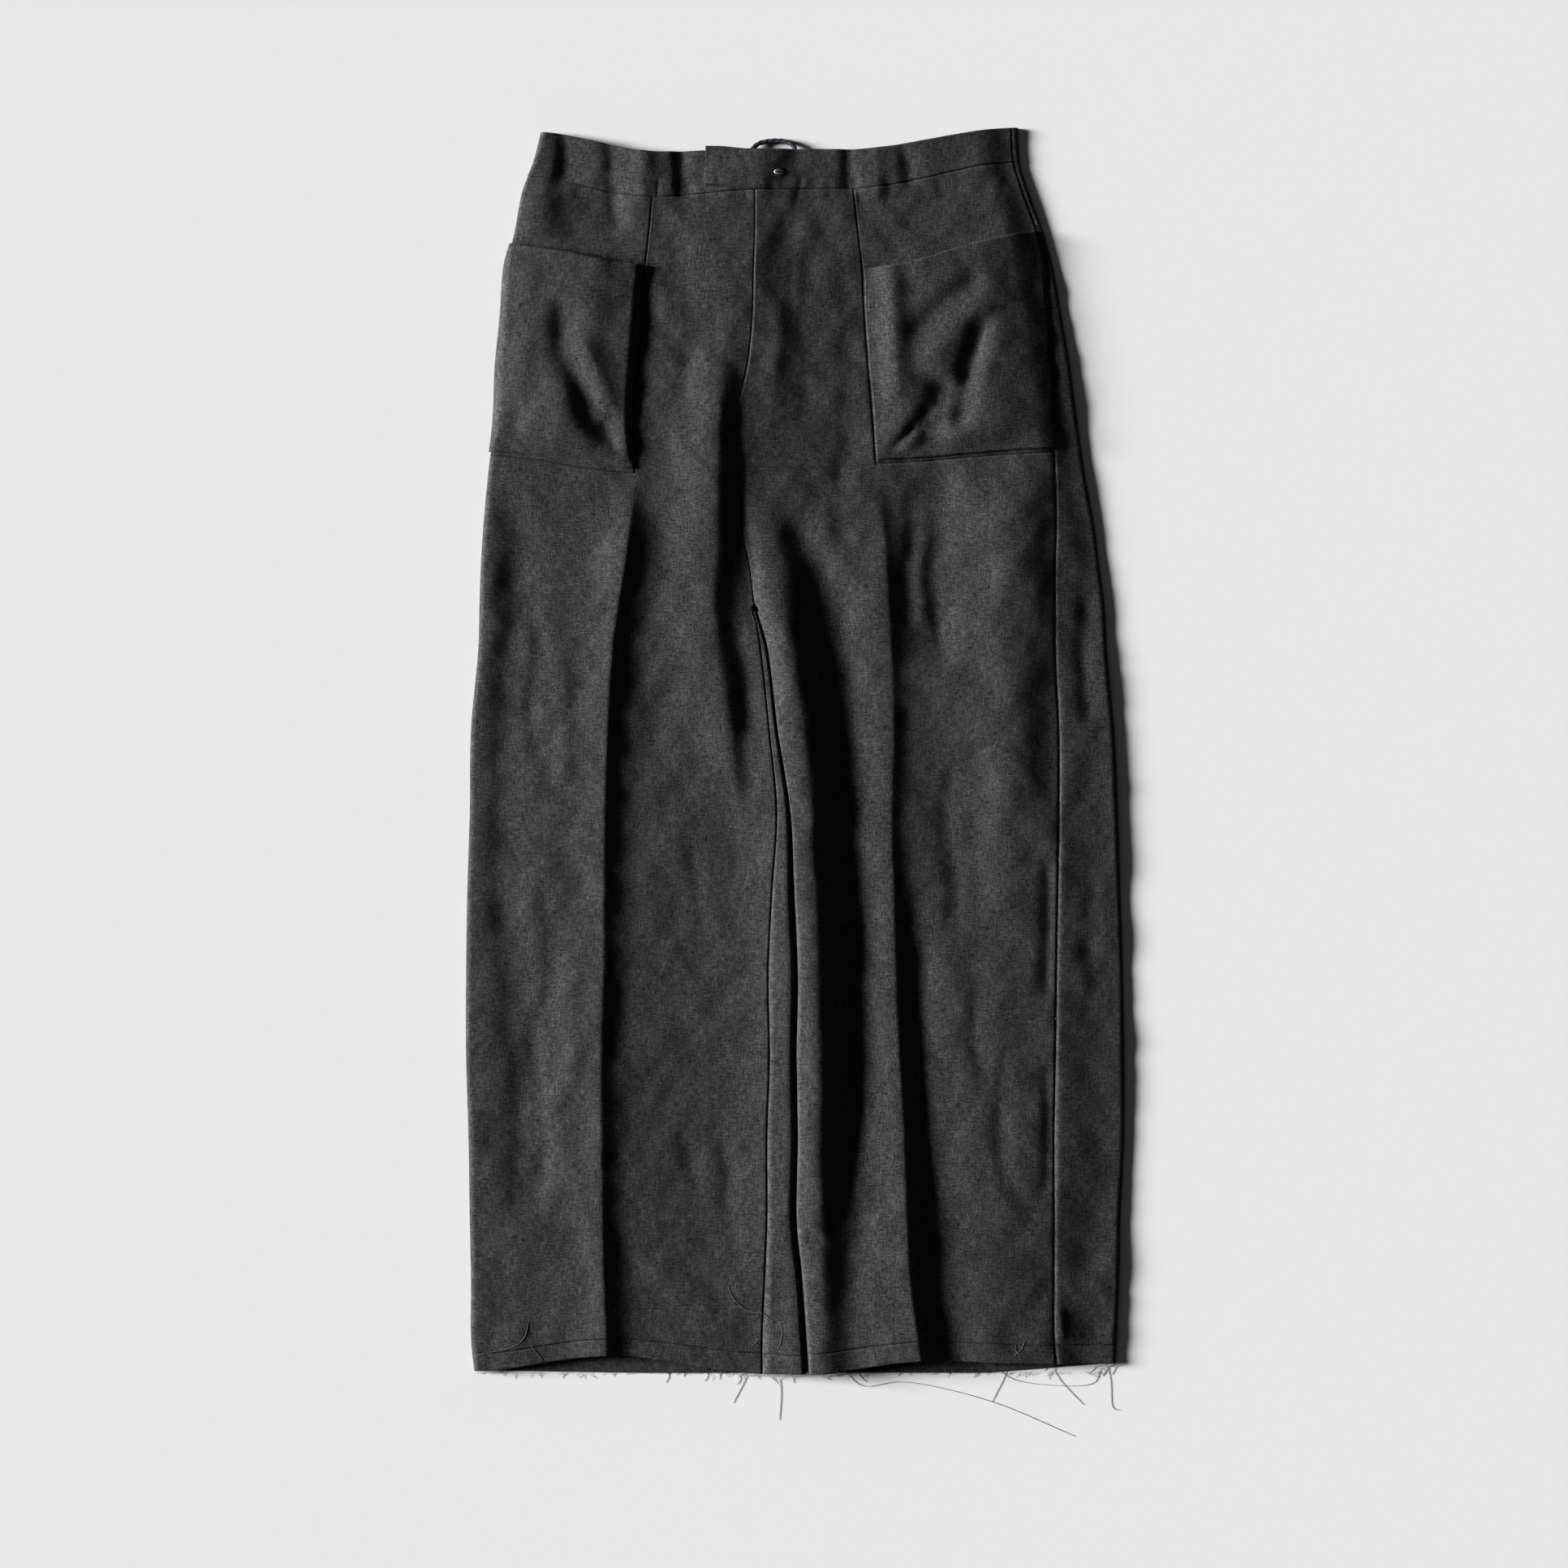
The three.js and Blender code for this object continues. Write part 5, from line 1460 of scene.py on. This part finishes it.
@dataclass
class Pocket:
    """A patch pocket: its yoke's points moved out, further where the pocket stands off.

    lifts gives the columns of the yoke's surface and how full the pocket stands there.
    """

    name: str
    half: Half
    lifts: Sequence[Point]
    cut: Cut
    steps: int = 70

    ROWS = (0.08, 1, 2, 3, 4)
    ROW_COUNTS = (18, 20, 19, 18)
    FILL = 0.5

    def points(self) -> Array:
        """The pocket's middle: the yoke's, moved out by a seam gap and by its fullness times its stand."""
        columns_known = np.array([column for column, _ in self.lifts])
        lifts_known = np.array([lift for _, lift in self.lifts])
        columns = spread((columns_known[0], columns_known[-1]), (self.steps,))
        rows = spread(self.ROWS, self.ROW_COUNTS)
        under = self.half.surface(rows + POCKET_BOTTOM, columns)
        normals = grid_normals(under, self.half.flip)
        full = np.interp(columns, columns_known, lifts_known)[None, :]
        full = full * smooth((rows - self.ROWS[0]) / self.FILL)[:, None]
        stand = POCKET_LIFT + sum(fold.lift(under[..., 0], under[..., 1]) for fold in POCKET_FOLDS)
        return under + normals * (CLOTH + SEAM_GAP + full * np.maximum(stand, 0.0))[..., None]

    def build(self, finishes: Finishes) -> bpy.types.Object:
        """The pocket's wall."""
        return cloth_piece(self.name, self.points(), CLOTH, self.half.flip, finishes)


# The columns of each pocket and how full it stands there
RIGHT_LIFTS = ((9.1, 0), (9.4, 0.8), (9.6, 0.9), (10, 0.95), (10.5, 1.05), (11, 1.2), (11.5, 1.3), (12, 1.25),
               (12.5, 1.15), (13, 1.05), (13.5, 1), (14, 1), (14.5, 0.85), (15, 0.6), (16, 0.2), (17, 0),
               (17.4, 0))
LEFT_LIFTS = ((14.1, 0), (14.7, 0.2), (15, 0.35), (15.5, 0.6), (16, 0.8), (17, 0.95), (18, 1), (19, 0.9),
              (19.5, 0.7), (20, 0.45), (20.5, 0.2), (20.92, 0))

# The drawcord's route, from between the waistbands up, round and back in
CORD_ROUTE = (
    (-38, 973, 5.1), (-38, 981, 5.1), (-37, 990, 5.0), (-33.5, 996.5, 4.2), (-28, 1000.6, 3.0),
    (-20, 1002.3, 2.3), (-12, 1002.5, 2.3), (-5.5, 1001.2, 3.0), (-0.5, 997.5, 4.2), (1.5, 990, 5.0),
    (1.8, 981, 5.1), (1.5, 973, 5.1),
)


def ring_faces(rings: int, sides: int) -> Array:
    """Triangles between neighbouring rings of points, and from each end ring to a tip.

    Args:
        rings: How many rings there are. Their points are numbered first, ring by ring.
        sides: How many points a ring has.

    Returns:
        Corner numbers. The first ring's tip has the number rings * sides and the last ring's the next one.
    """
    number = np.arange(rings * sides).reshape(rings, sides)
    turned = np.roll(number, -1, axis=1)
    body = np.stack([number[:-1], turned[:-1], turned[1:], number[1:]], axis=-1).reshape(-1, 4)
    tip = np.full(sides, rings * sides)
    start = np.stack([turned[0], number[0], tip, tip], axis=-1)
    end = np.stack([number[-1], turned[-1], tip + 1, tip + 1], axis=-1)
    faces = np.concatenate([body, start, end])
    split = np.concatenate([faces[:, [0, 1, 2]], faces[:, [0, 2, 3]]])
    return split[(split[:, 0] != split[:, 1]) & (split[:, 1] != split[:, 2]) & (split[:, 0] != split[:, 2])]


def tube(path: Array, radius: Callable[[Array, Array], Array], sides: int) -> tuple[Array, Array]:
    """A closed tube round a path, with flat ends.

    Each ring lies across the path. A point of it is the path's point plus the radius times the cosine of its
    angle along the sideways direction and the sine along the other one.

    Args:
        path: Points of the centreline.
        radius: The radius as a function of the length along the path and the angle.
        sides: How many sides the tube has.

    Returns:
        The vertices and the triangles.
    """
    heading = unit(np.gradient(path, axis=0))
    sideways = unit(np.cross(heading, [0.0, 0.0, 1.0]))
    other = np.cross(sideways, heading)
    angle = np.linspace(0, 2 * math.pi, sides, endpoint=False)
    reach = radius(distances(path)[:, None], angle[None, :])[..., None] * np.ones((len(path), sides, 1))
    ring = path[:, None] + reach * (np.cos(angle)[None, :, None] * sideways[:, None]
                                    + np.sin(angle)[None, :, None] * other[:, None])
    return np.concatenate([ring.reshape(-1, 3), path[:1], path[-1:]]), ring_faces(len(path), sides)


@dataclass
class Drawcord:
    """The round braided drawcord's loop behind the waistband."""

    length: float = 0.088
    plaits: float = 5.5
    relief: float = 0.09
    pieces: int = 12
    sides: int = 24

    def radius(self, along: Array, angle: Array) -> Array:
        """Radius of the braid: two sets of strands that wind opposite ways, whichever is on top."""
        turn = 2 * math.pi * along / self.plaits
        over = np.maximum(np.cos(2 * angle + turn), np.cos(2 * angle - turn))
        return CORD / 2 * (1 - self.relief + self.relief * over)

    def build(self, finishes: Finishes) -> bpy.types.Object:
        """The cord's tube along its route."""
        route = np.array(CORD_ROUTE, dtype=float)
        path = rounded_path(route, self.pieces)
        piece = make_mesh("drawcord_braid", *tube(path, self.radius, self.sides))
        dress(piece, finishes.braid, "braid", "drawcord")
        return piece


@dataclass
class WaistHook:
    """The tab's hook: a thread eyelet, and a bent wire that comes up in it and reaches over its left side."""

    reach: float = 5.4
    width: float = 2.4
    sunk: float = 0.1
    threads: int = 26
    thread_relief: float = 0.07
    pressed: float = 0.55
    ring_steps: int = 12

    def local(self, points: Array, seat: tuple[Array, Array, Array, Array]) -> Array:
        """Points given as across, up and out from the seat, in the part's frame."""
        place, across, up, out = seat
        return place + points[:, :1] * across + points[:, 1:2] * up + points[:, 2:] * out

    def wire(self) -> Array:
        """The wire's route: two legs side by side that rise, run left and meet in a round end."""
        high = EYELET_ROLL * self.pressed + SEAM_GAP + WIRE
        low = WIRE / 2 + self.sunk
        half = self.width / 2
        leg = [(0.9, half, low), (-0.6, half, lerp(low, high, 0.7)), (-2.2, half, high), (-4, half, high),
               (-5, half * 0.7, high)]
        back = [(x, -side, z) for x, side, z in leg[::-1]]
        return rounded_path(leg + [(-self.reach, 0, high)] + back, 6)

    def eyelet(self) -> Array:
        """A ring wound with thread: the roll's radius swells once for each turn of the thread."""
        turn = np.linspace(0, 2 * math.pi, 8 * self.threads, endpoint=False)
        section = np.linspace(0, 2 * math.pi, self.ring_steps, endpoint=False)
        swell = 1 - self.thread_relief + self.thread_relief * np.cos(self.threads * turn)
        roll = EYELET_ROLL * swell[:, None]
        reach = EYELET_RADIUS + roll * np.cos(section)
        high = self.sunk + self.pressed * roll * np.sin(section)
        return np.stack([reach * np.cos(turn)[:, None], reach * np.sin(turn)[:, None], high], axis=-1)

    def build(self, finishes: Finishes) -> None:
        """The eyelet and the wire."""
        seat = Waistband().seat(HOOK_X, HOOK_ROW / 2)
        ring = self.eyelet()
        number = np.arange(ring.shape[0] * ring.shape[1]).reshape(ring.shape[:2])
        beside, above = np.roll(number, -1, axis=0), np.roll(number, -1, axis=1)
        faces = np.stack([number, beside, np.roll(beside, -1, axis=1), above], axis=-1).reshape(-1, 4)
        eyelet = make_mesh("hook_eyelet_thread", self.local(ring.reshape(-1, 3), seat), faces)
        dress(eyelet, finishes.eyelet, "braid", "hook_eyelet")
        wire = tube(self.local(self.wire(), seat), constant_radius(WIRE / 2), self.ring_steps)
        dress(make_mesh("waist_hook_wire", *wire), finishes.plating, "steel", "waist_hook")


def constant_radius(radius: float) -> Callable[[Array, Array], Array]:
    """A radius for tubes that stays the same."""
    return lambda along, angle: radius + 0 * along * angle


@dataclass
class Strands:
    """Many fine threads as one mesh. taper is the length over which a thread thins to the share thin."""

    vertices: list[Array] = field(default_factory=list)
    faces: list[Array] = field(default_factory=list)
    count: int = 0
    taper: float = 3.0
    thin: float = 0.65
    sides: int = 5

    def add(self, path: Array, radius: float) -> None:
        """Adds one thread round a path, which thins towards its ends."""
        total = distances(path)[-1]

        def thinned(along: Array, angle: Array) -> Array:
            """The radius at each length along the thread."""
            inside = smooth(np.minimum(along, total - along) / self.taper)
            return radius * lerp(self.thin, 1.0, inside) + 0 * angle

        vertices, faces = tube(path, thinned, self.sides)
        self.vertices.append(vertices)
        self.faces.append(faces + self.count)
        self.count += len(vertices)

    def build(self, name: str) -> bpy.types.Object:
        """The mesh of all the threads."""
        return make_mesh(name, np.concatenate(self.vertices), np.concatenate(self.faces))


def from_picture(places: Sequence[Point]) -> Array:
    """Places in pixels of the photograph, counted right and down, as x and y on the cloth."""
    pixels = np.asarray(places, dtype=float)
    return np.stack([(pixels[:, 0] - PICTURE_CENTRE) * PIXEL, (PICTURE_HEM - pixels[:, 1]) * PIXEL], axis=-1)


# The hem line's step in columns, where a thread leaves the ground and over what length, and its gap below it
EDGE_STEP = 0.25
EDGE_DROP, EDGE_RUN = 4.0, 6.0
THREAD_STAND = 0.15


def hem_line() -> Array:
    """Points x and y of the fronts' raw hem edge, from the right edge to the left."""
    right = RIGHT.surface([RAW_HEM], np.arange(0, RIGHT_SIDE, EDGE_STEP))[0]
    left = LEFT.surface([RAW_HEM], np.arange(LEFT_TOP, LEFT_SIDE, EDGE_STEP))[0]
    edge = np.concatenate([right[::-1], left])[:, :2]
    return edge[np.argsort(edge[:, 0])]


HEM_LINE = hem_line()


def raw_edge(x: Array) -> Array:
    """Height of the fronts' raw hem edge at each place across."""
    return np.interp(x, HEM_LINE[:, 0], HEM_LINE[:, 1])


def resting(places: Array, stand: float) -> Array:
    """Points of a thread that lies on the front, and below the hem on the ground.

    Args:
        places: x and y, one row each.
        stand: How far the thread's middle lies above the cloth or the ground.

    Returns:
        The points in space.
    """
    x, y = places[:, 0], places[:, 1]
    on_cloth = smooth((y - raw_edge(x) + EDGE_DROP) / EDGE_RUN)
    z = lerp(stand + THREAD_STAND, front_height(x, np.maximum(y, 0)) + CLOTH / 2 + stand, on_cloth)
    return np.stack([x, y, z], axis=-1)


@dataclass
class Fray:
    """Threads that hang from the raw hem of one leg: the photograph's own ones and short ones between them.

    low and high are the hem's ends. A short thread is as long as shortest plus an exponential draw about
    further, and leans and bows by normal draws that are shares of its length. on_front is the share of
    threads that hang from the front. The others hang from the back's edge, at the height back_edge.
    """

    name: str
    low: float
    high: float
    longer: Sequence[Sequence[Point]]
    seed: int
    count: int = 110
    radius: float = 0.15
    thinner: Point = (0.5, 0.85)
    shortest: float = 1.2
    further: float = 1.8
    lean: float = 0.8
    bow: float = 0.3
    on_front: float = 0.45
    back_edge: float = 1.5
    inside: float = 0.3
    root_height: float = 0.9
    tip_height: float = 0.25
    steps: int = 7

    def build(self, finishes: Finishes) -> None:
        """All the threads as one mesh."""
        strands = Strands()
        for places in self.longer:
            strands.add(resting(rounded_path(from_picture(places)), self.radius), self.radius)
        random = np.random.default_rng(self.seed)
        for path in self.short_ones(random):
            strands.add(path, self.radius * random.uniform(*self.thinner))
        dress(strands.build(f"{self.name}_threads"), finishes.fibre, "cloth", self.name)

    def short_ones(self, random: np.random.Generator) -> Array:
        """Short threads from the front's and the back's raw edge: one row of points for each.

        A thread starts a little inside the edge, falls by its reach, leans sideways and bows by a half sine.
        """
        size = (self.count, 1)
        x = random.uniform(self.low, self.high, size)
        reach = self.shortest + random.exponential(self.further, size)
        lean = random.normal(0, self.lean, size) * reach
        bow = random.normal(0, self.bow, size) * reach
        front = random.random(size) < self.on_front
        start = np.where(front, raw_edge(x), self.back_edge)
        share = np.linspace(-self.inside, 1, self.steps)[None, :]
        across = x + lean * share + bow * np.sin(math.pi * np.clip(share, 0, 1))
        down = start - reach * share
        flat = np.stack([across.ravel(), down.ravel()], axis=-1)
        points = resting(flat, self.radius).reshape(self.count, -1, 3)
        low = lerp(self.root_height, self.tip_height, smooth(share))
        points[..., 2] = np.where(front, points[..., 2], low)
        return points


# Threads of the photograph, each as places in its pixels
RIGHT_LONGER = (
    ((677, 1668), (677, 1691)), ((720, 1649), (727, 1660), (722, 1688)), ((695, 1672), (692, 1685)),
    ((750, 1668), (740, 1675), (735, 1684)), ((607, 1692), (615, 1683), (638, 1680)),
    ((762, 1668), (764, 1682), (760, 1690)), ((787, 1670), (786, 1684)),
    ((820, 1676), (824, 1694), (820, 1704)), ((845, 1678), (842, 1696)),
    ((866, 1680), (872, 1694), (868, 1702)), ((890, 1682), (886, 1700)),
    ((903, 1684), (912, 1698), (908, 1706)), ((924, 1682), (918, 1700), (903, 1729)),
    ((957, 1684), (962, 1712), (960, 1750)), ((947, 1667), (952, 1677), (953, 1692)),
    ((975, 1686), (978, 1704)),
)
LEFT_LONGER = (
    ((1023, 1683), (1028, 1690), (1033, 1696)), ((1033, 1682), (1027, 1690), (1022, 1697)),
    ((1044, 1681), (1040, 1688), (1034, 1695)), ((1055, 1686), (1060, 1696), (1068, 1703)),
    ((1040, 1688), (1065, 1708), (1120, 1703), (1222, 1727), (1325, 1770)),
    ((1162, 1680), (1165, 1688), (1171, 1693)), ((1233, 1674), (1236, 1684), (1234, 1692)),
    ((1243, 1676), (1238, 1695), (1222, 1727)),
    ((1222, 1680), (1250, 1700), (1300, 1707), (1345, 1705), (1357, 1685)),
    ((1297, 1668), (1294, 1680), (1287, 1689)), ((1293, 1674), (1306, 1700), (1335, 1731)),
    ((1353, 1672), (1350, 1684), (1342, 1692)), ((1360, 1672), (1364, 1686), (1358, 1696)),
    ((1367, 1671), (1374, 1684), (1370, 1694)), ((1362, 1674), (1368, 1700), (1370, 1732), (1380, 1738)),
)
LOOSE_THREADS = (
    ((652, 1628), (646, 1648), (627, 1660), (588, 1668)), ((655, 1657), (668, 1673), (677, 1688)),
    ((897, 1582), (903, 1597), (917, 1611), (933, 1616), (939, 1616), (955, 1628)),
    ((961, 1628), (964, 1640), (962, 1652), (958, 1661)), ((926, 1648), (931, 1653), (936, 1658)),
    ((928, 1657), (932, 1651), (938, 1646)), ((1245, 1657), (1253, 1664), (1263, 1669)),
    ((1250, 1655), (1252, 1664), (1258, 1672)), ((1262, 1650), (1258, 1660), (1249, 1668)),
)


@dataclass
class Stitching:
    """Rows of stitches, each a small spindle that lies half sunk in the cloth."""

    pitch: float = 2.7
    length: float = 2.0
    radius: float = 0.2

    SHARES = (-0.5, -0.32, 0.0, 0.32, 0.5)
    FULLNESS = (0.3, 0.85, 1.0, 0.85, 0.3)
    TIP = 0.56
    SIDES = 6
    LONGEST = 0.8
    SLOPE_REACH = 0.6
    PATH_PIECES = 12

    def __post_init__(self) -> None:
        """Starts with no stitches."""
        self.centres: list[Array] = []
        self.ahead: list[Array] = []
        self.out: list[Array] = []

    def add(self, path: Array, normals: Array, pitch: Optional[float] = None) -> None:
        """Adds a row along a path on the cloth, with the cloth's normals beside it."""
        pitch = pitch or self.pitch
        along = distances(path)
        places = np.arange(pitch / 2, along[-1] - pitch / 2, pitch)
        if len(places) == 0:
            return
        reach = min(self.length, pitch * self.LONGEST) / 2

        def at(lengths: Array, values: Array) -> Array:
            """Values beside the path at lengths along it."""
            return np.stack([np.interp(lengths, along, values[:, axis]) for axis in range(3)], axis=-1)

        self.centres.append(at(places, path))
        self.ahead.append(at(places + reach, path) - at(places - reach, path))
        self.out.append(unit(at(places, normals)))

    def add_on_front(self, places: Sequence[Point], pitch: Optional[float] = None) -> None:
        """Adds a row along points x and y of the front."""
        flat = rounded_path(places, self.PATH_PIECES)
        x, y = flat[:, 0], flat[:, 1]
        reach = self.SLOPE_REACH
        slope_x = (front_height(x + reach, y) - front_height(x - reach, y)) / (2 * reach)
        slope_y = (front_height(x, y + reach) - front_height(x, y - reach)) / (2 * reach)
        normals = unit(np.stack([-slope_x, -slope_y, np.ones(len(x))], axis=-1))
        middle = np.stack([x, y, front_height(x, y)], axis=-1)
        self.add(middle + normals * CLOTH / 2, normals, pitch)

    def add_on_wall(self, points: Array, normals: Array, thickness: float) -> None:
        """Adds a row along points of a wall's middle."""
        self.add(points + normals * thickness / 2, normals)

    def build(self, name: str) -> bpy.types.Object:
        """The mesh of all the stitches: the spindle's rings round each centre, and a point at each end."""
        centre, ahead, out = (np.concatenate(parts) for parts in (self.centres, self.ahead, self.out))
        side = unit(np.cross(ahead, out))
        angle = np.linspace(0, 2 * math.pi, self.SIDES, endpoint=False)
        share, full = np.array(self.SHARES), np.array(self.FULLNESS) * self.radius
        ring = np.cos(angle)[None, :, None] * side[:, None] + np.sin(angle)[None, :, None] * out[:, None]
        rings = (centre[:, None, None] + share[None, :, None, None] * ahead[:, None, None]
                 + full[None, :, None, None] * ring[:, None])
        tips = centre[:, None] + np.array([-self.TIP, self.TIP])[None, :, None] * ahead[:, None]
        size = len(share) * self.SIDES
        vertices = np.concatenate([rings.reshape(len(centre), size, 3), tips], axis=1)
        first = np.arange(len(centre)) * vertices.shape[1]
        faces = ring_faces(len(share), self.SIDES)[None] + first[:, None, None]
        return make_mesh(name, vertices.reshape(-1, 3), faces.reshape(-1, 3))


@dataclass
class Sewing:
    """The seams' stitching on the fronts, the fly, the waistband and the pockets, and the loose threads."""

    row_inset: float = 1.4
    fly_inset: float = 1.8
    pocket_hem: float = 13.0
    tack_pitch: float = 0.7
    place_step: float = 12.0
    hem_end: float = 14.5
    tab_cover: float = 4.6
    mark_heights: Point = (35.0, 58.0)
    mark_wave: float = 3.0
    mark_wave_length: float = 60.0
    loose_radius: float = 0.25

    def down(self, line: str, offset: float, low: float, high: float) -> list[Point]:
        """Places down a line of the table, a little to its right."""
        heights = np.linspace(high, low, max(3, int((high - low) / self.place_step)))
        return [(float(x) + offset, float(y)) for x, y in zip(line_at(line, heights), heights)]

    def fronts(self, sewing: Stitching) -> None:
        """Double rows on the fronts' seams, the fly's edge, its curved row and its tacks."""
        for offset in (self.row_inset, self.row_inset + STITCH_INSET):
            sewing.add_on_front(self.down("right_crease", offset, 746, 951))
            sewing.add_on_front(self.down("left_crease", offset, 750, 958))
        sewing.add_on_front(self.down("centre", self.fly_inset, 836, 957))
        straight = self.down("centre", FLY_WIDTH, 868, 956)
        foot = float(line_at("centre", np.array(FLY_FOOT)))
        sewing.add_on_front(straight + [(foot + 28, 850), (foot + 18, 839), (foot + 4, FLY_FOOT + 1)])
        sewing.add_on_front([(foot - 3.5, FLY_FOOT), (foot, FLY_FOOT), (foot + 4, FLY_FOOT)], self.tack_pitch)
        sewing.add_on_front([(69, 905), (69, 901), (69, 897)], self.tack_pitch)

    def hems(self, sewing: Stitching) -> None:
        """A row just above the hem seam of each front."""
        for half, first, last in ((RIGHT, 0.5, self.hem_end), (LEFT, LEFT_TOP + 0.5, LEFT_SIDE)):
            seam = half.surface([HEM_SEAM], np.arange(first, last, 0.5))[0]
            sewing.add_on_front([(float(x), float(y) + self.row_inset) for x, y in seam[:, :2]])

    def band(self, sewing: Stitching) -> None:
        """A row along the foot of the waistband's fronts."""
        waistband = Waistband()
        columns = RIGHT_FRONT_COLUMNS[RIGHT_FRONT_COLUMNS > self.tab_cover]
        right = RIGHT.surface(waistband.rows(RIGHT), columns)
        grids = ((waistband.front_points(), LEFT.flip), (right, RIGHT.flip))
        for points, flip in grids:
            normals = grid_normals(points, flip)
            sewing.add_on_wall(points[1], normals[1], BAND_CLOTH)

    def pocket(self, sewing: Stitching, pocket: Pocket) -> None:
        """A row under the pocket's mouth, one above its foot and one inside its first edge."""
        points = pocket.points()
        normals = grid_normals(points, pocket.half.flip)
        rise = points[-1, :, 1].mean() - points[-2, :, 1].mean()
        hem = len(points) - 1 - int(round(self.pocket_hem / rise))
        sewing.add_on_wall(points[hem, 1:-1], normals[hem, 1:-1], CLOTH)
        sewing.add_on_wall(points[1, 1:-1], normals[1, 1:-1], CLOTH)
        sewing.add_on_wall(points[1:, 1], normals[1:, 1], CLOTH)

    def build(self, finishes: Finishes, pockets: Sequence[Pocket]) -> None:
        """The stitches, the old hem's rows of needle marks and the loose threads."""
        sewing = Stitching()
        self.fronts(sewing)
        self.hems(sewing)
        self.band(sewing)
        for pocket in pockets:
            self.pocket(sewing, pocket)
        dress(sewing.build("stitches"), finishes.sewing, "cloth")
        marks = Stitching(pitch=5.2, length=1.1, radius=0.14)
        for height in self.mark_heights:
            for low, high in ((-246, -30), (12, 205)):
                across = np.linspace(low, high, 30)
                up = height + self.mark_wave * np.sin(across / self.mark_wave_length)
                marks.add_on_front(np.stack([across, up], axis=-1))
        dress(marks.build("hem_needle_marks"), finishes.fibre, "cloth")
        strands = Strands()
        for places in LOOSE_THREADS:
            strands.add(resting(rounded_path(from_picture(places)), self.loose_radius), self.loose_radius)
        dress(strands.build("loose_threads"), finishes.fibre, "cloth")


@dataclass
class Studio:
    """The pale ground, the low light from the left and the camera straight above."""

    frame_width: float = 1275.1
    aim: Point = (-9.2, -1.4)
    distance: float = 4.2
    sensor: float = 36.0
    farthest: float = 50.0
    ground_reach: float = 6000.0
    ground_drop: float = 0.05
    sun_height: float = 17.0
    sun_turn: float = 6.0
    sun_strength: float = 9.4
    sun_angle: float = 18.0
    fill: float = 0.07

    def build(self, finishes: Finishes) -> None:
        """Ground, lights, camera and colour management."""
        self.add_camera()
        self.add_ground(finishes)
        self.add_light()
        scene = bpy.context.scene
        scene.view_settings.view_transform = "Standard"
        scene.view_settings.look = "High Contrast"

    def add_camera(self) -> None:
        """A camera that looks straight down, with the garment's waist at the top of the picture."""
        data = bpy.data.cameras.new("camera")
        data.sensor_width = self.sensor
        data.lens = data.sensor_width * self.distance / (self.frame_width * MM)
        data.clip_end = self.farthest
        camera = bpy.data.objects.new("camera", data)
        camera.location = (self.aim[0] * MM, self.aim[1] * MM, self.distance)
        bpy.context.scene.collection.objects.link(camera)
        bpy.context.scene.camera = camera

    def add_ground(self, finishes: Finishes) -> None:
        """A wide flat ground just under the cloth."""
        corners = self.ground_reach * np.array([[-1, -1, 0], [1, -1, 0], [1, 1, 0], [-1, 1, 0]]) + MIDDLE
        corners[:, 2] = -self.ground_drop
        ground = make_mesh("ground", corners, np.array([[0, 1, 2, 3]]))
        ground.data.materials.append(finishes.ground)

    def add_light(self) -> None:
        """A broad low sun from the left and an even fill."""
        data = bpy.data.lights.new("window", "SUN")
        data.energy = self.sun_strength
        data.angle = math.radians(self.sun_angle)
        lamp = bpy.data.objects.new("window", data)
        height, turn = math.radians(self.sun_height), math.radians(self.sun_turn)
        level = math.cos(height)
        source = Vector((-level * math.cos(turn), level * math.sin(turn), math.sin(height)))
        lamp.rotation_mode = "QUATERNION"
        lamp.rotation_quaternion = source.to_track_quat("Z", "Y")
        bpy.context.scene.collection.objects.link(lamp)
        world = bpy.data.worlds.new("fill")
        world.use_nodes = True
        world.node_tree.nodes["Background"].inputs["Strength"].default_value = self.fill
        world.node_tree.nodes["Background"].inputs["Color"].default_value = (1, 1, 1, 1)
        bpy.context.scene.world = world


def main() -> None:
    """Builds the trousers and the studio in order."""
    logging.basicConfig(level=logging.INFO, format="%(name)s %(message)s")
    finishes = Finishes()
    Studio().build(finishes)
    Drawcord().build(finishes)
    for panel in body_panels():
        panel.build(finishes)
    Waistband().build(finishes)
    WaistHook().build(finishes)
    pockets = (Pocket("pocket_right", RIGHT, RIGHT_LIFTS, Cut(0.13, 0.18, 0.022)),
               Pocket("pocket_left", LEFT, LEFT_LIFTS, Cut(0.16, 0.19, 0.027)))
    for pocket in pockets:
        pocket.build(finishes)
    Fray("fray_right", -258, -2, RIGHT_LONGER, 21).build(finishes)
    Fray("fray_left", 12, 258, LEFT_LONGER, 22).build(finishes)
    Sewing().build(finishes, pockets)


if __name__ == "__main__":
    main()
